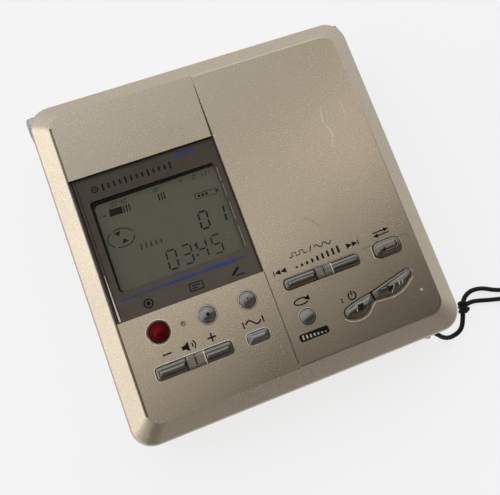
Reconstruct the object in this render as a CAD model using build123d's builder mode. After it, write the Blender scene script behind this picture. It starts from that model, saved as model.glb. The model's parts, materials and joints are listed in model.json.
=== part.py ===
from build123d import *
from math import cos, pi, radians, sin, tan
import os

# Pocket minidisc recorder with a flip-up lid. Millimetres, +X to the right as the
# lid's labels read, +Y to the hinge, +Z up. The origin is on the surface that the
# feet stand on, under the middle of the lid's outline.

os.makedirs("parts", exist_ok=True)

# ---------------------------------------------------------------- driving sizes
# the disc cartridge that everything is built round
cartridge_width = 72.0
cartridge_depth = 68.0
cartridge_height = 5.0
cartridge_play = 0.4            # each side, in the holder

# sheets, walls and gaps from the cartridge out to the side of the lid
sheet = 0.4                     # folded steel of the holder
side_gap = 0.2                  # between parts that turn beside each other
ear_thickness = 1.2
case_wall = 1.2
case_inset = 0.4                # how far the case stands in from the lid's edge

# front to back
front_gap = 0.9                 # case wall to the cartridge's front edge
rear_room = 10.5                # behind the cartridge: head column and hinge
case_tail = 0.9                 # the case reaches past the lid's rear edge

# the stack from the feet up
foot_height = 0.6
floor_thickness = 1.2
mechanism_space = 7.0           # floor to the underside of the deck
deck_thickness = 0.6
sheet_gap = 0.1
cartridge_lift = 0.1
holder_clear = 0.15             # over the cartridge
arm_thickness = 0.3
lid_plate_thickness = 0.3
key_board_thickness = 0.5
key_space = 1.5                 # key board to the underside of the lid
lid_top_wall = 1.6

# the lid's outside
lid_height = 8.4
lid_wall = 1.4
outline_radius = 5.0
bevel_inset = 4.9
bevel_drop = 3.8
bevel_wall = 2.1                # the bevel's wall, measured level
top_radius = 3.5
top_edge_round = 0.7
bevel_edge_round = 1.2
panel_step = 0.3                # the left half lies this much lower
step_x = -0.8
groove_width = 0.5
groove_depth = 0.3
groove_end = 2.0                # groove stops short of the top's corners
split_gap = 0.2                 # lid edge over the case edge

# hinge
hinge_drop = 2.2                # axis below the case's top edge
hinge_from_rear = 1.9           # axis in front of the lid's rear edge
barrel_radius = 2.1
pin_radius = 0.8
pin_fit = 0.05
pin_length = 17.6
hinge_cap_radius = 3.6
hinge_cap_thickness = 0.85
hinge_cap_gap = 0.15            # to the lid's side
spring_cavity_radius = 1.55
spring_cavity_length = 7.0

# display
bezel_front = -13.1
bezel_rear = 20.5
bezel_sink = 0.8                # below the left panel
bezel_thickness = 0.9
bezel_flange = 0.8
bezel_flange_thickness = 0.4
bezel_fit = 0.05
window_width = 29.4
window_depth = 21.4
window_x = -17.6
window_y = 4.0
window_radius = 0.7
lens_thickness = 0.6
lens_sink = 0.1
lcd_margin = 0.8                # panel past the window, all round
lcd_thickness = 0.95
lcd_frame_wall = 1.0

# keys
key_fit = 0.12
key_proud = 0.55
key_flange = 0.6
key_flange_thickness = 0.45
key_flange_gap = 0.1
key_travel = 0.35
dome_radius = 1.5
dome_height = 0.3
stem_radius = 0.6
rocker_fit = 0.15
rocker_proud = 0.7
rocker_flange_thickness = 0.3
rocker_flange_gap = 0.4
rocker_round = 0.75

front_row_y = -26.2
upper_row_y = -17.8
rec_x = -27.1
lamp_x = -21.6
display_x = -16.0
edit_x = -6.6
mode_x = 4.7
bass_x = -7.1
volume_x = -21.8
level_x = 11.5
enter_x = 27.9
rec_radius = 1.95
rec_dish_radius = 2.7
rec_dish_depth = 0.45
round_key_radius = 1.85
round_key_chamfer = 0.3
bass_width = 5.0
bass_depth = 2.5
volume_width = 17.4
volume_depth = 2.9
level_width = 18.4
level_depth = 2.5
enter_width = 6.9
enter_depth = 3.8
band_end = 33.7
band_depth = 3.1
band_sink = 0.3
pair_margin = 0.45              # trough round the stop and play keys
pair_sink = 0.35
pair_gap = 0.25
pair_overlap = 0.02             # the two openings run into each other at the waist
leaf_corner = 0.45
leaf_top_round = 0.4
lamp_radius = 0.35
lamp_fit = 0.05
guide_dot = (31.6, -29.4)

# mechanism
turntable_radius = 5.5
turntable_boss_radius = 1.9
turntable_rise = 0.9            # boss above the cartridge's underside
motor_radius = 8.5
motor_height = 3.6
lens_start = 14.5               # lens from the disc's centre, innermost track
lens_travel = 16.0
sled_half_width = 4.9
rod_radius = 0.8
rod_fit = 0.05
screw_radius = 1.1
gear_module = 0.22
pinion_teeth = 8
gear_teeth = 18
gear_width = 1.5
chassis_thickness = 0.6
chassis_gap = 0.4               # under the deck
board_thickness = 0.8
board_lift = 0.6

# battery
battery_width = 21.0
battery_length = 46.0
battery_height = 5.4
door_fit = 0.05

# sockets
jack_bore_radius = 1.8
jack_bore_length = 11.0
jack_body = 5.4
jack_width = 6.2
jack_length = 12.0
jack_pitch = 8.0
dc_bore_radius = 2.1
dc_pin_radius = 0.7
dc_bore_depth = 6.0

# open latch, hold switch, strap
latch_knob_width = 8.0
latch_knob_below = 1.5          # the knob's reach below and above its sliding plate
latch_knob_above = 3.7
latch_travel = 2.0
latch_proud = 0.95
hold_travel = 2.5
hold_proud = 0.7
strap_wire_radius = 0.45
strap_wire_bend = 1.2
strap_wire_fit = 0.02
strap_pocket_width = 5.6
strap_pocket_depth = 2.9
strap_pocket_height = 4.3
cord_diameter = 1.2

# ---------------------------------------------------------------- derived levels
floor_top = foot_height + floor_thickness
deck_bottom = floor_top + mechanism_space
deck_top = deck_bottom + deck_thickness
lip_bottom = deck_top + sheet_gap
cartridge_bottom = lip_bottom + sheet + cartridge_lift
holder_top_bottom = cartridge_bottom + cartridge_height + holder_clear
holder_top = holder_top_bottom + sheet
arm_bottom = holder_top + sheet_gap
arm_top = arm_bottom + arm_thickness
lid_plate_bottom = arm_top + sheet_gap
lid_plate_top = lid_plate_bottom + lid_plate_thickness
key_board_bottom = lid_plate_top + 0.05
key_board_top = key_board_bottom + key_board_thickness
lid_under = key_board_top + key_space
lid_top = lid_under + lid_top_wall
panel_top = lid_top - panel_step
lid_bottom = lid_top - lid_height
case_top = lid_bottom - split_gap
bevel_z = lid_top - bevel_drop

holder_half = cartridge_width / 2 + cartridge_play
arm_outer = holder_half + sheet
ear_inner = arm_outer + side_gap
ear_outer = ear_inner + ear_thickness
case_inner = ear_outer + side_gap
case_half = case_inner + case_wall
body_width = 2 * (case_half + case_inset)
lid_depth = case_inset + case_wall + front_gap + cartridge_depth + rear_room
lid_half = body_width / 2
lid_front = -lid_depth / 2
lid_rear = lid_depth / 2
case_front = lid_front + case_inset
case_rear = lid_rear + case_tail - case_inset
case_depth = case_rear - case_front
case_middle = (case_front + case_rear) / 2
wall_front = case_front + case_wall
wall_rear = case_rear - case_wall
cartridge_front = wall_front + front_gap
cartridge_rear = cartridge_front + cartridge_depth
disc_y = cartridge_front + cartridge_depth / 2
top_half = lid_half - bevel_inset
hinge_y = lid_rear - hinge_from_rear
hinge_z = case_top - hinge_drop
chassis_top = deck_bottom - chassis_gap
chassis_bottom = chassis_top - chassis_thickness
board_bottom = floor_top + board_lift
board_top = board_bottom + board_thickness
panel_left = -top_half
bezel_top = panel_top - bezel_sink
bezel_bottom = bezel_top - bezel_thickness
dome_top = key_board_top + dome_height

# keys that are round: place, radius, the surface they stand in, how far they stand out
round_keys = {
    "rec_button": (rec_x, upper_row_y, rec_radius, panel_top, 0.2),
    "display_button": (display_x, upper_row_y, round_key_radius, panel_top, key_proud),
    "edit_button": (edit_x, upper_row_y, round_key_radius, panel_top, key_proud),
    "mode_button": (mode_x, front_row_y + 0.2, round_key_radius, lid_top, key_proud),
}
# keys with rounded corners: place, width, depth, corner radius, surface
block_keys = {
    "bass_button": (bass_x, front_row_y, bass_width, bass_depth, 0.6, panel_top),
    "enter_button": (enter_x, upper_row_y + 0.1, enter_width, enter_depth, 1.6, lid_top),
}
# rockers: place, width, depth, corner radius, surface
rockers = {
    "volume_rocker": (volume_x, front_row_y, volume_width, volume_depth, 0.8, panel_top),
    "level_rocker": (level_x, upper_row_y, level_width, level_depth, 0.9, lid_top),
}
# leaf-shaped stop and play keys: the waist between them, then each outline's arcs,
# as a point on the arc and its end
waist_top = (20.1, -26.0)
waist_bottom = (20.5, -27.8)
stop_arcs = [
    ((19.5, -28.4), (18.7, -29.25)), ((16.5, -30.3), (14.0, -29.9)),
    ((12.85, -28.6), (13.7, -27.25)), ((16.6, -26.5), waist_top),
]
play_arcs = [
    ((24.9, -24.85), (29.4, -23.85)), ((30.75, -24.5), (30.2, -25.8)),
    ((27.8, -27.4), (24.2, -28.15)), ((22.3, -27.95), waist_bottom),
]


def leaf_face(first, arcs, shift, corner):
    """Face of one leaf key: waist edge moved along X by shift, corners rounded."""
    start = (first[0] + shift, first[1])
    last = arcs[-1][1]
    end = (last[0] + shift, last[1])
    with BuildSketch() as leaf:
        with BuildLine():
            here = start
            for via, there in arcs[:-1]:
                ThreePointArc(here, via, there)
                here = there
            ThreePointArc(here, arcs[-1][0], end)
            Line(end, start)
        make_face()
        if corner:
            fillet(leaf.vertices(), corner)
    return leaf.sketch


# the two keys keep a gap at the waist, and their openings have none
stop_leaf = leaf_face(waist_bottom, stop_arcs, -pair_gap / 2, leaf_corner)
play_leaf = leaf_face(waist_top, play_arcs, pair_gap / 2, leaf_corner)
stop_hole = leaf_face(waist_bottom, stop_arcs, pair_overlap, 0)
play_hole = leaf_face(waist_top, play_arcs, -pair_overlap, 0)


def rounded_box(x0, x1, y0, y1, z0, z1, radius, mode=Mode.ADD):
    """Upright box with rounded vertical edges, in the part being built."""
    with BuildSketch(Plane.XY.offset(z0)) as outline:
        with Locations(((x0 + x1) / 2, (y0 + y1) / 2)):
            RectangleRounded(x1 - x0, y1 - y0, radius)
    extrude(outline.sketch, amount=z1 - z0, mode=mode)


def block(x0, x1, y0, y1, z0, z1, mode=Mode.ADD):
    """Square-edged box from its corners, in the part being built."""
    with Locations(((x0 + x1) / 2, (y0 + y1) / 2, (z0 + z1) / 2)):
        Box(x1 - x0, y1 - y0, z1 - z0, mode=mode)


def upright(x, y, z0, z1, radius, mode=Mode.ADD):
    """Vertical cylinder, in the part being built."""
    with Locations((x, y, (z0 + z1) / 2)):
        Cylinder(radius, z1 - z0, mode=mode)


def along_x(x0, x1, y, z, radius, mode=Mode.ADD):
    """Cylinder along X, in the part being built."""
    with Locations(((x0 + x1) / 2, y, z)):
        Cylinder(radius, x1 - x0, rotation=(0, 90, 0), mode=mode)


# ================================================================ lid
lid_post_x = top_half - 0.3
lid_post_y = 29.5
lid_post_radius = 1.5
lid_screw_radius = 0.6
lid_screw_head_radius = 1.1
with BuildPart() as lid_shell:
    with BuildSketch(Plane.XY.offset(lid_bottom)):
        RectangleRounded(body_width, lid_depth, outline_radius)
    extrude(amount=bevel_z - lid_bottom)
    with BuildSketch(Plane.XY.offset(bevel_z)):
        RectangleRounded(body_width, lid_depth, outline_radius)
    with BuildSketch(Plane.XY.offset(lid_top)):
        RectangleRounded(body_width - 2 * bevel_inset, lid_depth - 2 * bevel_inset, top_radius)
    loft()
    fillet(lid_shell.edges().group_by(Axis.Z)[-1], top_edge_round)
    bevel_foot = lid_shell.edges().filter_by_position(Axis.Z, bevel_z - 0.01, bevel_z + 0.01)
    fillet(bevel_foot, bevel_edge_round)
    # hollow, with the inner bevel parallel to the outer one
    inner_width = body_width - 2 * lid_wall
    inner_depth = lid_depth - 2 * lid_wall
    bevel_slope = bevel_inset / bevel_drop
    under_inset = bevel_inset - lid_top_wall * bevel_slope + bevel_wall
    inner_bevel_z = lid_under - (under_inset - lid_wall) / bevel_slope
    with BuildSketch(Plane.XY.offset(lid_bottom)):
        RectangleRounded(inner_width, inner_depth, outline_radius - lid_wall)
    extrude(amount=inner_bevel_z - lid_bottom, mode=Mode.SUBTRACT)
    with BuildSketch(Plane.XY.offset(inner_bevel_z)):
        RectangleRounded(inner_width, inner_depth, outline_radius - lid_wall)
    with BuildSketch(Plane.XY.offset(lid_under)):
        RectangleRounded(body_width - 2 * under_inset, lid_depth - 2 * under_inset, 2.4)
    loft(mode=Mode.SUBTRACT)
    # the left half lies lower, with a groove along its left edge
    block(-lid_half, step_x, lid_front, lid_rear, panel_top, lid_top + 1, mode=Mode.SUBTRACT)
    with BuildSketch(Plane.XZ):
        with BuildLine():
            Polyline(
                (panel_left - groove_width / 2, panel_top + 0.01),
                (panel_left, panel_top - groove_depth),
                (panel_left + groove_width / 2, panel_top + 0.01),
                close=True,
            )
        make_face()
    groove_half = lid_depth / 2 - bevel_inset - groove_end
    extrude(amount=groove_half, both=True, mode=Mode.SUBTRACT)
    # display opening
    block(panel_left, step_x - 0.1, bezel_front, bezel_rear, lid_under - 1, lid_top, mode=Mode.SUBTRACT)
    # shallow band that holds the level rocker and the enter key
    band_x0 = step_x + 1.1
    band_y = upper_row_y + 0.1
    block(
        band_x0, band_end, band_y - band_depth / 2, band_y + band_depth / 2,
        lid_top - band_sink, lid_top + 1, mode=Mode.SUBTRACT,
    )
    # key openings
    with BuildSketch(Plane.XY.offset(lid_top)):
        with Locations((rec_x, upper_row_y)):
            Circle(rec_radius + key_fit)
    extrude(amount=-lid_top_wall, mode=Mode.SUBTRACT)
    with Locations((rec_x, upper_row_y, panel_top - rec_dish_depth / 2)):
        Cone(rec_radius + key_fit, rec_dish_radius, rec_dish_depth, mode=Mode.SUBTRACT)
    for key_x, key_y, key_radius, surface, proud in round_keys.values():
        upright(key_x, key_y, lid_under, surface, key_radius + key_fit, mode=Mode.SUBTRACT)
        with Locations((key_x, key_y, surface - round_key_chamfer / 2)):
            Cone(
                key_radius + key_fit, key_radius + key_fit + round_key_chamfer,
                round_key_chamfer, mode=Mode.SUBTRACT,
            )
    for key_x, key_y, width, depth, corner, surface in block_keys.values():
        rounded_box(
            key_x - width / 2 - key_fit, key_x + width / 2 + key_fit,
            key_y - depth / 2 - key_fit, key_y + depth / 2 + key_fit,
            lid_under, lid_top + 1, corner + key_fit, mode=Mode.SUBTRACT,
        )
    for key_x, key_y, width, depth, corner, surface in rockers.values():
        rounded_box(
            key_x - width / 2 - rocker_fit, key_x + width / 2 + rocker_fit,
            key_y - depth / 2 - rocker_fit, key_y + depth / 2 + rocker_fit,
            lid_under, lid_top + 1, corner + rocker_fit, mode=Mode.SUBTRACT,
        )
    for leaf_hole in (stop_hole, play_hole):
        with BuildSketch(Plane.XY.offset(lid_top)):
            add(leaf_hole)
            offset(amount=pair_margin, mode=Mode.REPLACE)
        extrude(amount=-pair_sink, mode=Mode.SUBTRACT)
        with BuildSketch(Plane.XY.offset(lid_top)):
            add(leaf_hole)
            offset(amount=key_fit, mode=Mode.REPLACE)
        extrude(amount=-lid_top_wall, mode=Mode.SUBTRACT)
    for lamp_place in ((lamp_x, upper_row_y), guide_dot):
        upright(*lamp_place, lid_under, lid_top, lamp_radius + lamp_fit, mode=Mode.SUBTRACT)
    # screw posts for the inner plate
    for side in (-1, 1):
        for end in (-1, 1):
            upright(side * lid_post_x, end * lid_post_y, lid_plate_top, lid_under + 0.3, lid_post_radius)
            upright(
                side * lid_post_x, end * lid_post_y, lid_plate_top, lid_under + 0.1,
                lid_screw_radius + 0.05, mode=Mode.SUBTRACT,
            )
    # hinge ears
    ear_root = lid_bottom + 0.2
    for side in (-1, 1):
        along_x(
            min(side * ear_inner, side * ear_outer), max(side * ear_inner, side * ear_outer),
            hinge_y, hinge_z, barrel_radius,
        )
        block(
            min(side * ear_inner, side * ear_outer), max(side * ear_inner, side * ear_outer),
            hinge_y - barrel_radius, hinge_y + 0.5, hinge_z, ear_root + 3.2,
        )
        block(
            min(side * ear_inner, side * (lid_half - lid_wall / 2)),
            max(side * ear_inner, side * (lid_half - lid_wall / 2)),
            hinge_y - barrel_radius, lid_rear - lid_wall / 2, ear_root, ear_root + 3.2,
        )
    along_x(-ear_outer, ear_outer, hinge_y, hinge_z, pin_radius + pin_fit, mode=Mode.SUBTRACT)
lid_shell.part.label = "lid_shell"
export_step(lid_shell.part, "parts/lid_shell.step")

# ---- display: smoked bezel, clear lens, panel and its frame
with BuildPart() as lcd_bezel:
    block(
        panel_left + bezel_fit, step_x - 0.1 - bezel_fit, bezel_front + bezel_fit,
        bezel_rear - bezel_fit, bezel_bottom, bezel_top,
    )
    block(
        panel_left + 0.6, step_x + bezel_flange, bezel_front - bezel_flange,
        bezel_rear + bezel_flange, bezel_bottom, bezel_bottom + bezel_flange_thickness,
    )
    rounded_box(
        window_x - window_width / 2, window_x + window_width / 2,
        window_y - window_depth / 2, window_y + window_depth / 2,
        bezel_bottom, bezel_top, window_radius, mode=Mode.SUBTRACT,
    )
lcd_bezel.part.label = "lcd_bezel"
export_step(lcd_bezel.part, "parts/lcd_bezel.step")

with BuildPart() as lcd_lens:
    rounded_box(
        window_x - window_width / 2 + bezel_fit, window_x + window_width / 2 - bezel_fit,
        window_y - window_depth / 2 + bezel_fit, window_y + window_depth / 2 - bezel_fit,
        bezel_top - lens_sink - lens_thickness, bezel_top - lens_sink, window_radius,
    )
lcd_lens.part.label = "lcd_lens"
export_step(lcd_lens.part, "parts/lcd_lens.step")

lcd_half_width = window_width / 2 + lcd_margin
lcd_half_depth = window_depth / 2 + lcd_margin
with BuildPart() as lcd_panel:
    block(
        window_x - lcd_half_width, window_x + lcd_half_width,
        window_y - lcd_half_depth, window_y + lcd_half_depth,
        key_board_top + 0.05, key_board_top + 0.05 + lcd_thickness,
    )
lcd_panel.part.label = "lcd_panel"
export_step(lcd_panel.part, "parts/lcd_panel.step")

with BuildPart() as lcd_frame:
    block(
        window_x - lcd_half_width - lcd_frame_wall, window_x + lcd_half_width + lcd_frame_wall,
        window_y - lcd_half_depth - lcd_frame_wall, window_y + lcd_half_depth + lcd_frame_wall,
        key_board_top, bezel_bottom - 0.05,
    )
    block(
        window_x - lcd_half_width - bezel_fit, window_x + lcd_half_width + bezel_fit,
        window_y - lcd_half_depth - bezel_fit, window_y + lcd_half_depth + bezel_fit,
        key_board_top, bezel_bottom, mode=Mode.SUBTRACT,
    )
lcd_frame.part.label = "lcd_frame"
export_step(lcd_frame.part, "parts/lcd_frame.step")

# ---- keys
flange_top = lid_under - key_flange_gap
flange_bottom = flange_top - key_flange_thickness
stem_bottom = dome_top + key_travel + 0.05
for name, (key_x, key_y, key_radius, surface, proud) in round_keys.items():
    with BuildPart() as round_key:
        upright(key_x, key_y, flange_bottom, flange_top, key_radius + key_flange)
        upright(key_x, key_y, flange_top, surface + proud, key_radius)
        fillet(round_key.edges().group_by(Axis.Z)[-1], min(0.45, key_radius / 3))
        upright(key_x, key_y, stem_bottom, flange_bottom, stem_radius)
    round_key.part.label = name
    export_step(round_key.part, f"parts/{name}.step")

for name, (key_x, key_y, width, depth, corner, surface) in block_keys.items():
    with BuildPart() as block_key:
        rounded_box(
            key_x - width / 2, key_x + width / 2, key_y - depth / 2, key_y + depth / 2,
            flange_top, surface + key_proud, corner,
        )
        fillet(block_key.edges().group_by(Axis.Z)[-1], min(0.5, corner * 0.8))
        rounded_box(
            key_x - width / 2 - key_flange, key_x + width / 2 + key_flange,
            key_y - depth / 2 - key_flange, key_y + depth / 2 + key_flange,
            flange_bottom, flange_top, corner,
        )
        upright(key_x, key_y, stem_bottom, flange_bottom, stem_radius)
    block_key.part.label = name
    export_step(block_key.part, f"parts/{name}.step")

stop_stem = (16.3, -28.4)
play_stem = (27.0, -26.0)
leaf_keys = {"stop_button": (stop_leaf, stop_stem), "play_button": (play_leaf, play_stem)}
for name, (leaf, stem_place) in leaf_keys.items():
    with BuildPart() as leaf_key:
        with BuildSketch(Plane.XY.offset(flange_top)):
            add(leaf)
        extrude(amount=lid_top + key_proud - flange_top)
        fillet(leaf_key.edges().group_by(Axis.Z)[-1], leaf_top_round)
        upright(*stem_place, flange_bottom, flange_top, 2.4)
        upright(*stem_place, stem_bottom, flange_bottom, stem_radius)
    leaf_key.part.label = name
    export_step(leaf_key.part, f"parts/{name}.step")

rocker_flange_top = lid_under - rocker_flange_gap
rocker_flange_bottom = rocker_flange_top - rocker_flange_thickness
rocker_pivot_radius = 0.45
rocker_pivot_z = lid_under - rocker_pivot_radius - 0.05
rocker_insert = 1.1             # half length of the raised middle
for name, (key_x, key_y, width, depth, corner, surface) in rockers.items():
    with BuildPart() as rocker:
        rounded_box(
            key_x - width / 2, key_x + width / 2, key_y - depth / 2, key_y + depth / 2,
            rocker_flange_top, surface + rocker_proud, corner,
        )
        fillet(rocker.edges().group_by(Axis.Z)[-1], min(rocker_round, corner * 0.9))
        block(
            key_x - rocker_insert, key_x + rocker_insert,
            key_y - depth / 2 + 0.3, key_y + depth / 2 - 0.3,
            surface, surface + rocker_proud + 0.1,
        )
        rounded_box(
            key_x - width / 2 - 0.3, key_x + width / 2 + 0.3, key_y - depth / 2 - 0.5,
            key_y + depth / 2 + 0.5, rocker_flange_bottom, rocker_flange_top, corner,
        )
        block(key_x - 0.4, key_x + 0.4, key_y - 1, key_y + 1, key_board_top + 0.3, rocker_flange_bottom)
        with Locations((key_x, key_y, rocker_pivot_z)):
            Cylinder(rocker_pivot_radius, depth + 0.8, rotation=(90, 0, 0))
    rocker.part.label = name
    export_step(rocker.part, f"parts/{name}.step")

with BuildPart() as lamp_pipes:
    upright(lamp_x, upper_row_y, key_board_top + 0.1, panel_top + 0.05, lamp_radius)
    upright(*guide_dot, key_board_top + 0.1, lid_top + 0.15, lamp_radius)
lamp_pipes.part.label = "lamp_pipes"
export_step(lamp_pipes.part, "parts/lamp_pipes.step")

# ---- boards and plate inside the lid
key_board_half_width = lid_post_x - lid_post_radius - 0.9
key_board_half_depth = 32.5
rocker_reach = 0.36             # domes under a rocker, as a share of its width
dome_places = [(x, y) for x, y, *rest in (*round_keys.values(), *block_keys.values())]
dome_places += [stop_stem, play_stem]
for key_x, key_y, width, *rest in rockers.values():
    dome_places += [(key_x - rocker_reach * width, key_y), (key_x + rocker_reach * width, key_y)]
with BuildPart() as key_board:
    block(
        -key_board_half_width, key_board_half_width, -key_board_half_depth, key_board_half_depth,
        key_board_bottom, key_board_top,
    )
key_board.part.label = "key_board"
export_step(key_board.part, "parts/key_board.step")

with BuildPart() as key_domes:
    for dome_x, dome_y in dome_places:
        with Locations((dome_x, dome_y, key_board_top + dome_height / 2)):
            Cone(dome_radius, dome_radius * 0.6, dome_height)
key_domes.part.label = "key_domes"
export_step(key_domes.part, "parts/key_domes.step")

lid_plate_half_width = holder_half
lid_plate_front = lid_front + lid_wall + 1.5
lid_plate_rear = hinge_y - 4.0
with BuildPart() as lid_plate:
    rounded_box(
        -lid_plate_half_width, lid_plate_half_width, lid_plate_front, lid_plate_rear,
        lid_plate_bottom, lid_plate_top, 2.0,
    )
    for side in (-1, 1):
        for end in (-1, 1):
            upright(
                side * lid_post_x, end * lid_post_y, lid_plate_bottom, lid_plate_top,
                lid_screw_radius + 0.1, mode=Mode.SUBTRACT,
            )
lid_plate.part.label = "lid_plate"
export_step(lid_plate.part, "parts/lid_plate.step")

with BuildPart() as lid_screws:
    for side in (-1, 1):
        for end in (-1, 1):
            upright(
                side * lid_post_x, end * lid_post_y, lid_plate_bottom - 0.25, lid_plate_bottom,
                lid_screw_head_radius,
            )
            upright(side * lid_post_x, end * lid_post_y, lid_plate_bottom, lid_under, lid_screw_radius)
lid_screws.part.label = "lid_screws"
export_step(lid_screws.part, "parts/lid_screws.step")

catch_x = -3.5
catch_width = 3.0
latch_z = floor_top + 5.4       # middle of the latch plate
with BuildPart() as lid_catch:
    block(
        catch_x - catch_width / 2, catch_x + catch_width / 2, lid_front + lid_wall, wall_front + 0.9,
        lid_bottom + 0.1, lid_bottom + 3.6,
    )
    block(
        catch_x - catch_width / 2, catch_x + catch_width / 2, wall_front + 0.15, wall_front + 0.9,
        latch_z - 0.9, lid_bottom + 0.1,
    )
    block(
        catch_x - 0.6, catch_x + 0.6, wall_front, wall_front + 1, latch_z - 0.3, latch_z + 0.7,
        mode=Mode.SUBTRACT,
    )
lid_catch.part.label = "lid_catch"
export_step(lid_catch.part, "parts/lid_catch.step")

# ================================================================ disc holder
holder_front = cartridge_front + 0.4
holder_rear = cartridge_rear + 0.6
window_left = 8.0               # head window in the holder's top
window_right = holder_half - 2.2
with BuildPart() as disc_holder:
    block(-arm_outer, arm_outer, holder_front, holder_rear + sheet, lip_bottom, holder_top)
    block(
        -holder_half, holder_half, holder_front - 1, holder_rear,
        lip_bottom + sheet, holder_top_bottom, mode=Mode.SUBTRACT,
    )
    # underside: only a lip down each side
    block(
        -holder_half + 4.4, holder_half - 4.4, holder_front - 1, holder_rear + 1,
        lip_bottom - 1, lip_bottom + sheet + 0.01, mode=Mode.SUBTRACT,
    )
    # head window, open to the rear, and the rear stop cut away for the head column
    block(
        window_left, window_right, disc_y - 5, holder_rear + 1, holder_top_bottom - 0.01,
        holder_top + 1, mode=Mode.SUBTRACT,
    )
    block(
        window_left, arm_outer + 1, holder_rear - 0.01, holder_rear + 1, lip_bottom - 1,
        holder_top + 1, mode=Mode.SUBTRACT,
    )
    # two long relief slots in the top
    for slot_x in (-24.0, -8.0):
        rounded_box(
            slot_x - 2, slot_x + 2, disc_y - 18, disc_y + 22, holder_top_bottom - 0.1,
            holder_top + 0.1, 1.9, mode=Mode.SUBTRACT,
        )
    # arms back to the hinge pins
    for side in (-1, 1):
        arm_x0 = min(side * holder_half, side * arm_outer)
        arm_x1 = max(side * holder_half, side * arm_outer)
        with BuildSketch(Plane.YZ.offset(arm_x0)):
            with BuildLine():
                Polyline(
                    (holder_rear - 1, lip_bottom), (hinge_y, lip_bottom),
                    (hinge_y, hinge_z + 1.6), (holder_rear - 1, holder_top), close=True,
                )
            make_face()
        extrude(amount=arm_x1 - arm_x0)
        along_x(arm_x0, arm_x1, hinge_y, hinge_z, 1.6)
    along_x(-arm_outer, arm_outer, hinge_y, hinge_z, pin_radius + pin_fit, mode=Mode.SUBTRACT)
disc_holder.part.label = "disc_holder"
export_step(disc_holder.part, "parts/disc_holder.step")

# ================================================================ case
jack_z = board_top + 0.1 + jack_body / 2
jack_places = [wall_front + 7.4 + jack_pitch * index for index in range(3)]
jack_rear = jack_places[-1] + jack_width / 2
dc_y = hinge_y - 10.6
battery_right = -case_inner + 1.4 + battery_width
battery_front = wall_front + 7.9
battery_rear = battery_front + battery_length
board_left = battery_right + 1.4
damper_left = board_left + 3.6
damper_front = wall_front + 6.9
damper_rear = hinge_y - 11.6
screw_posts = [
    (-case_inner + 2.4, wall_front + 3.1), (26.5, wall_front + 2.3),
    (-case_inner + 2.4, hinge_y - 4.1), (case_inner - 2.1, hinge_y - 3.8),
]
damper_posts = [
    (damper_left, damper_front), (damper_left, damper_rear),
    (22.5, damper_front), (case_inner - 2.4, damper_rear),
]
screw_post_radius = 1.6
case_screw_radius = 0.7
screw_head_radius = 1.3
damper_height = 0.8
door_right = battery_right + 0.1
door_front = battery_front - 0.3
door_rear = battery_rear - 3.0
pocket_x0 = case_inner - 2.1 - strap_pocket_width
pocket_x1 = pocket_x0 + strap_pocket_width
pocket_z1 = deck_bottom - 0.6
pocket_z0 = pocket_z1 - strap_pocket_height
strap_wire_x = pocket_x0 + 2.8
strap_wire_y = strap_wire_radius - hinge_y - hinge_cap_radius  # out as far as the hinge caps
strap_wire_z0 = pocket_z0 - 1.0
strap_wire_z1 = pocket_z1 + 1.2
strap_wire_end = case_front + 1.1
latch_x = -14.1
latch_slot_half = 2.2
hold_y = disc_y + 15.5
hold_z = floor_top + 4.8
foot_radius = 2.2
foot_places = [(-31.0, case_front + 5.0), (33.0, case_front + 7.0), (-31.0, 33.0), (30.0, 33.0)]
foot_sink = 0.4
rear_ledge = hinge_z - 0.4
rear_cut_y = hinge_y - 2.2
barrel_slot = holder_half - 0.15
bottom_round = 0.9

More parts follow.
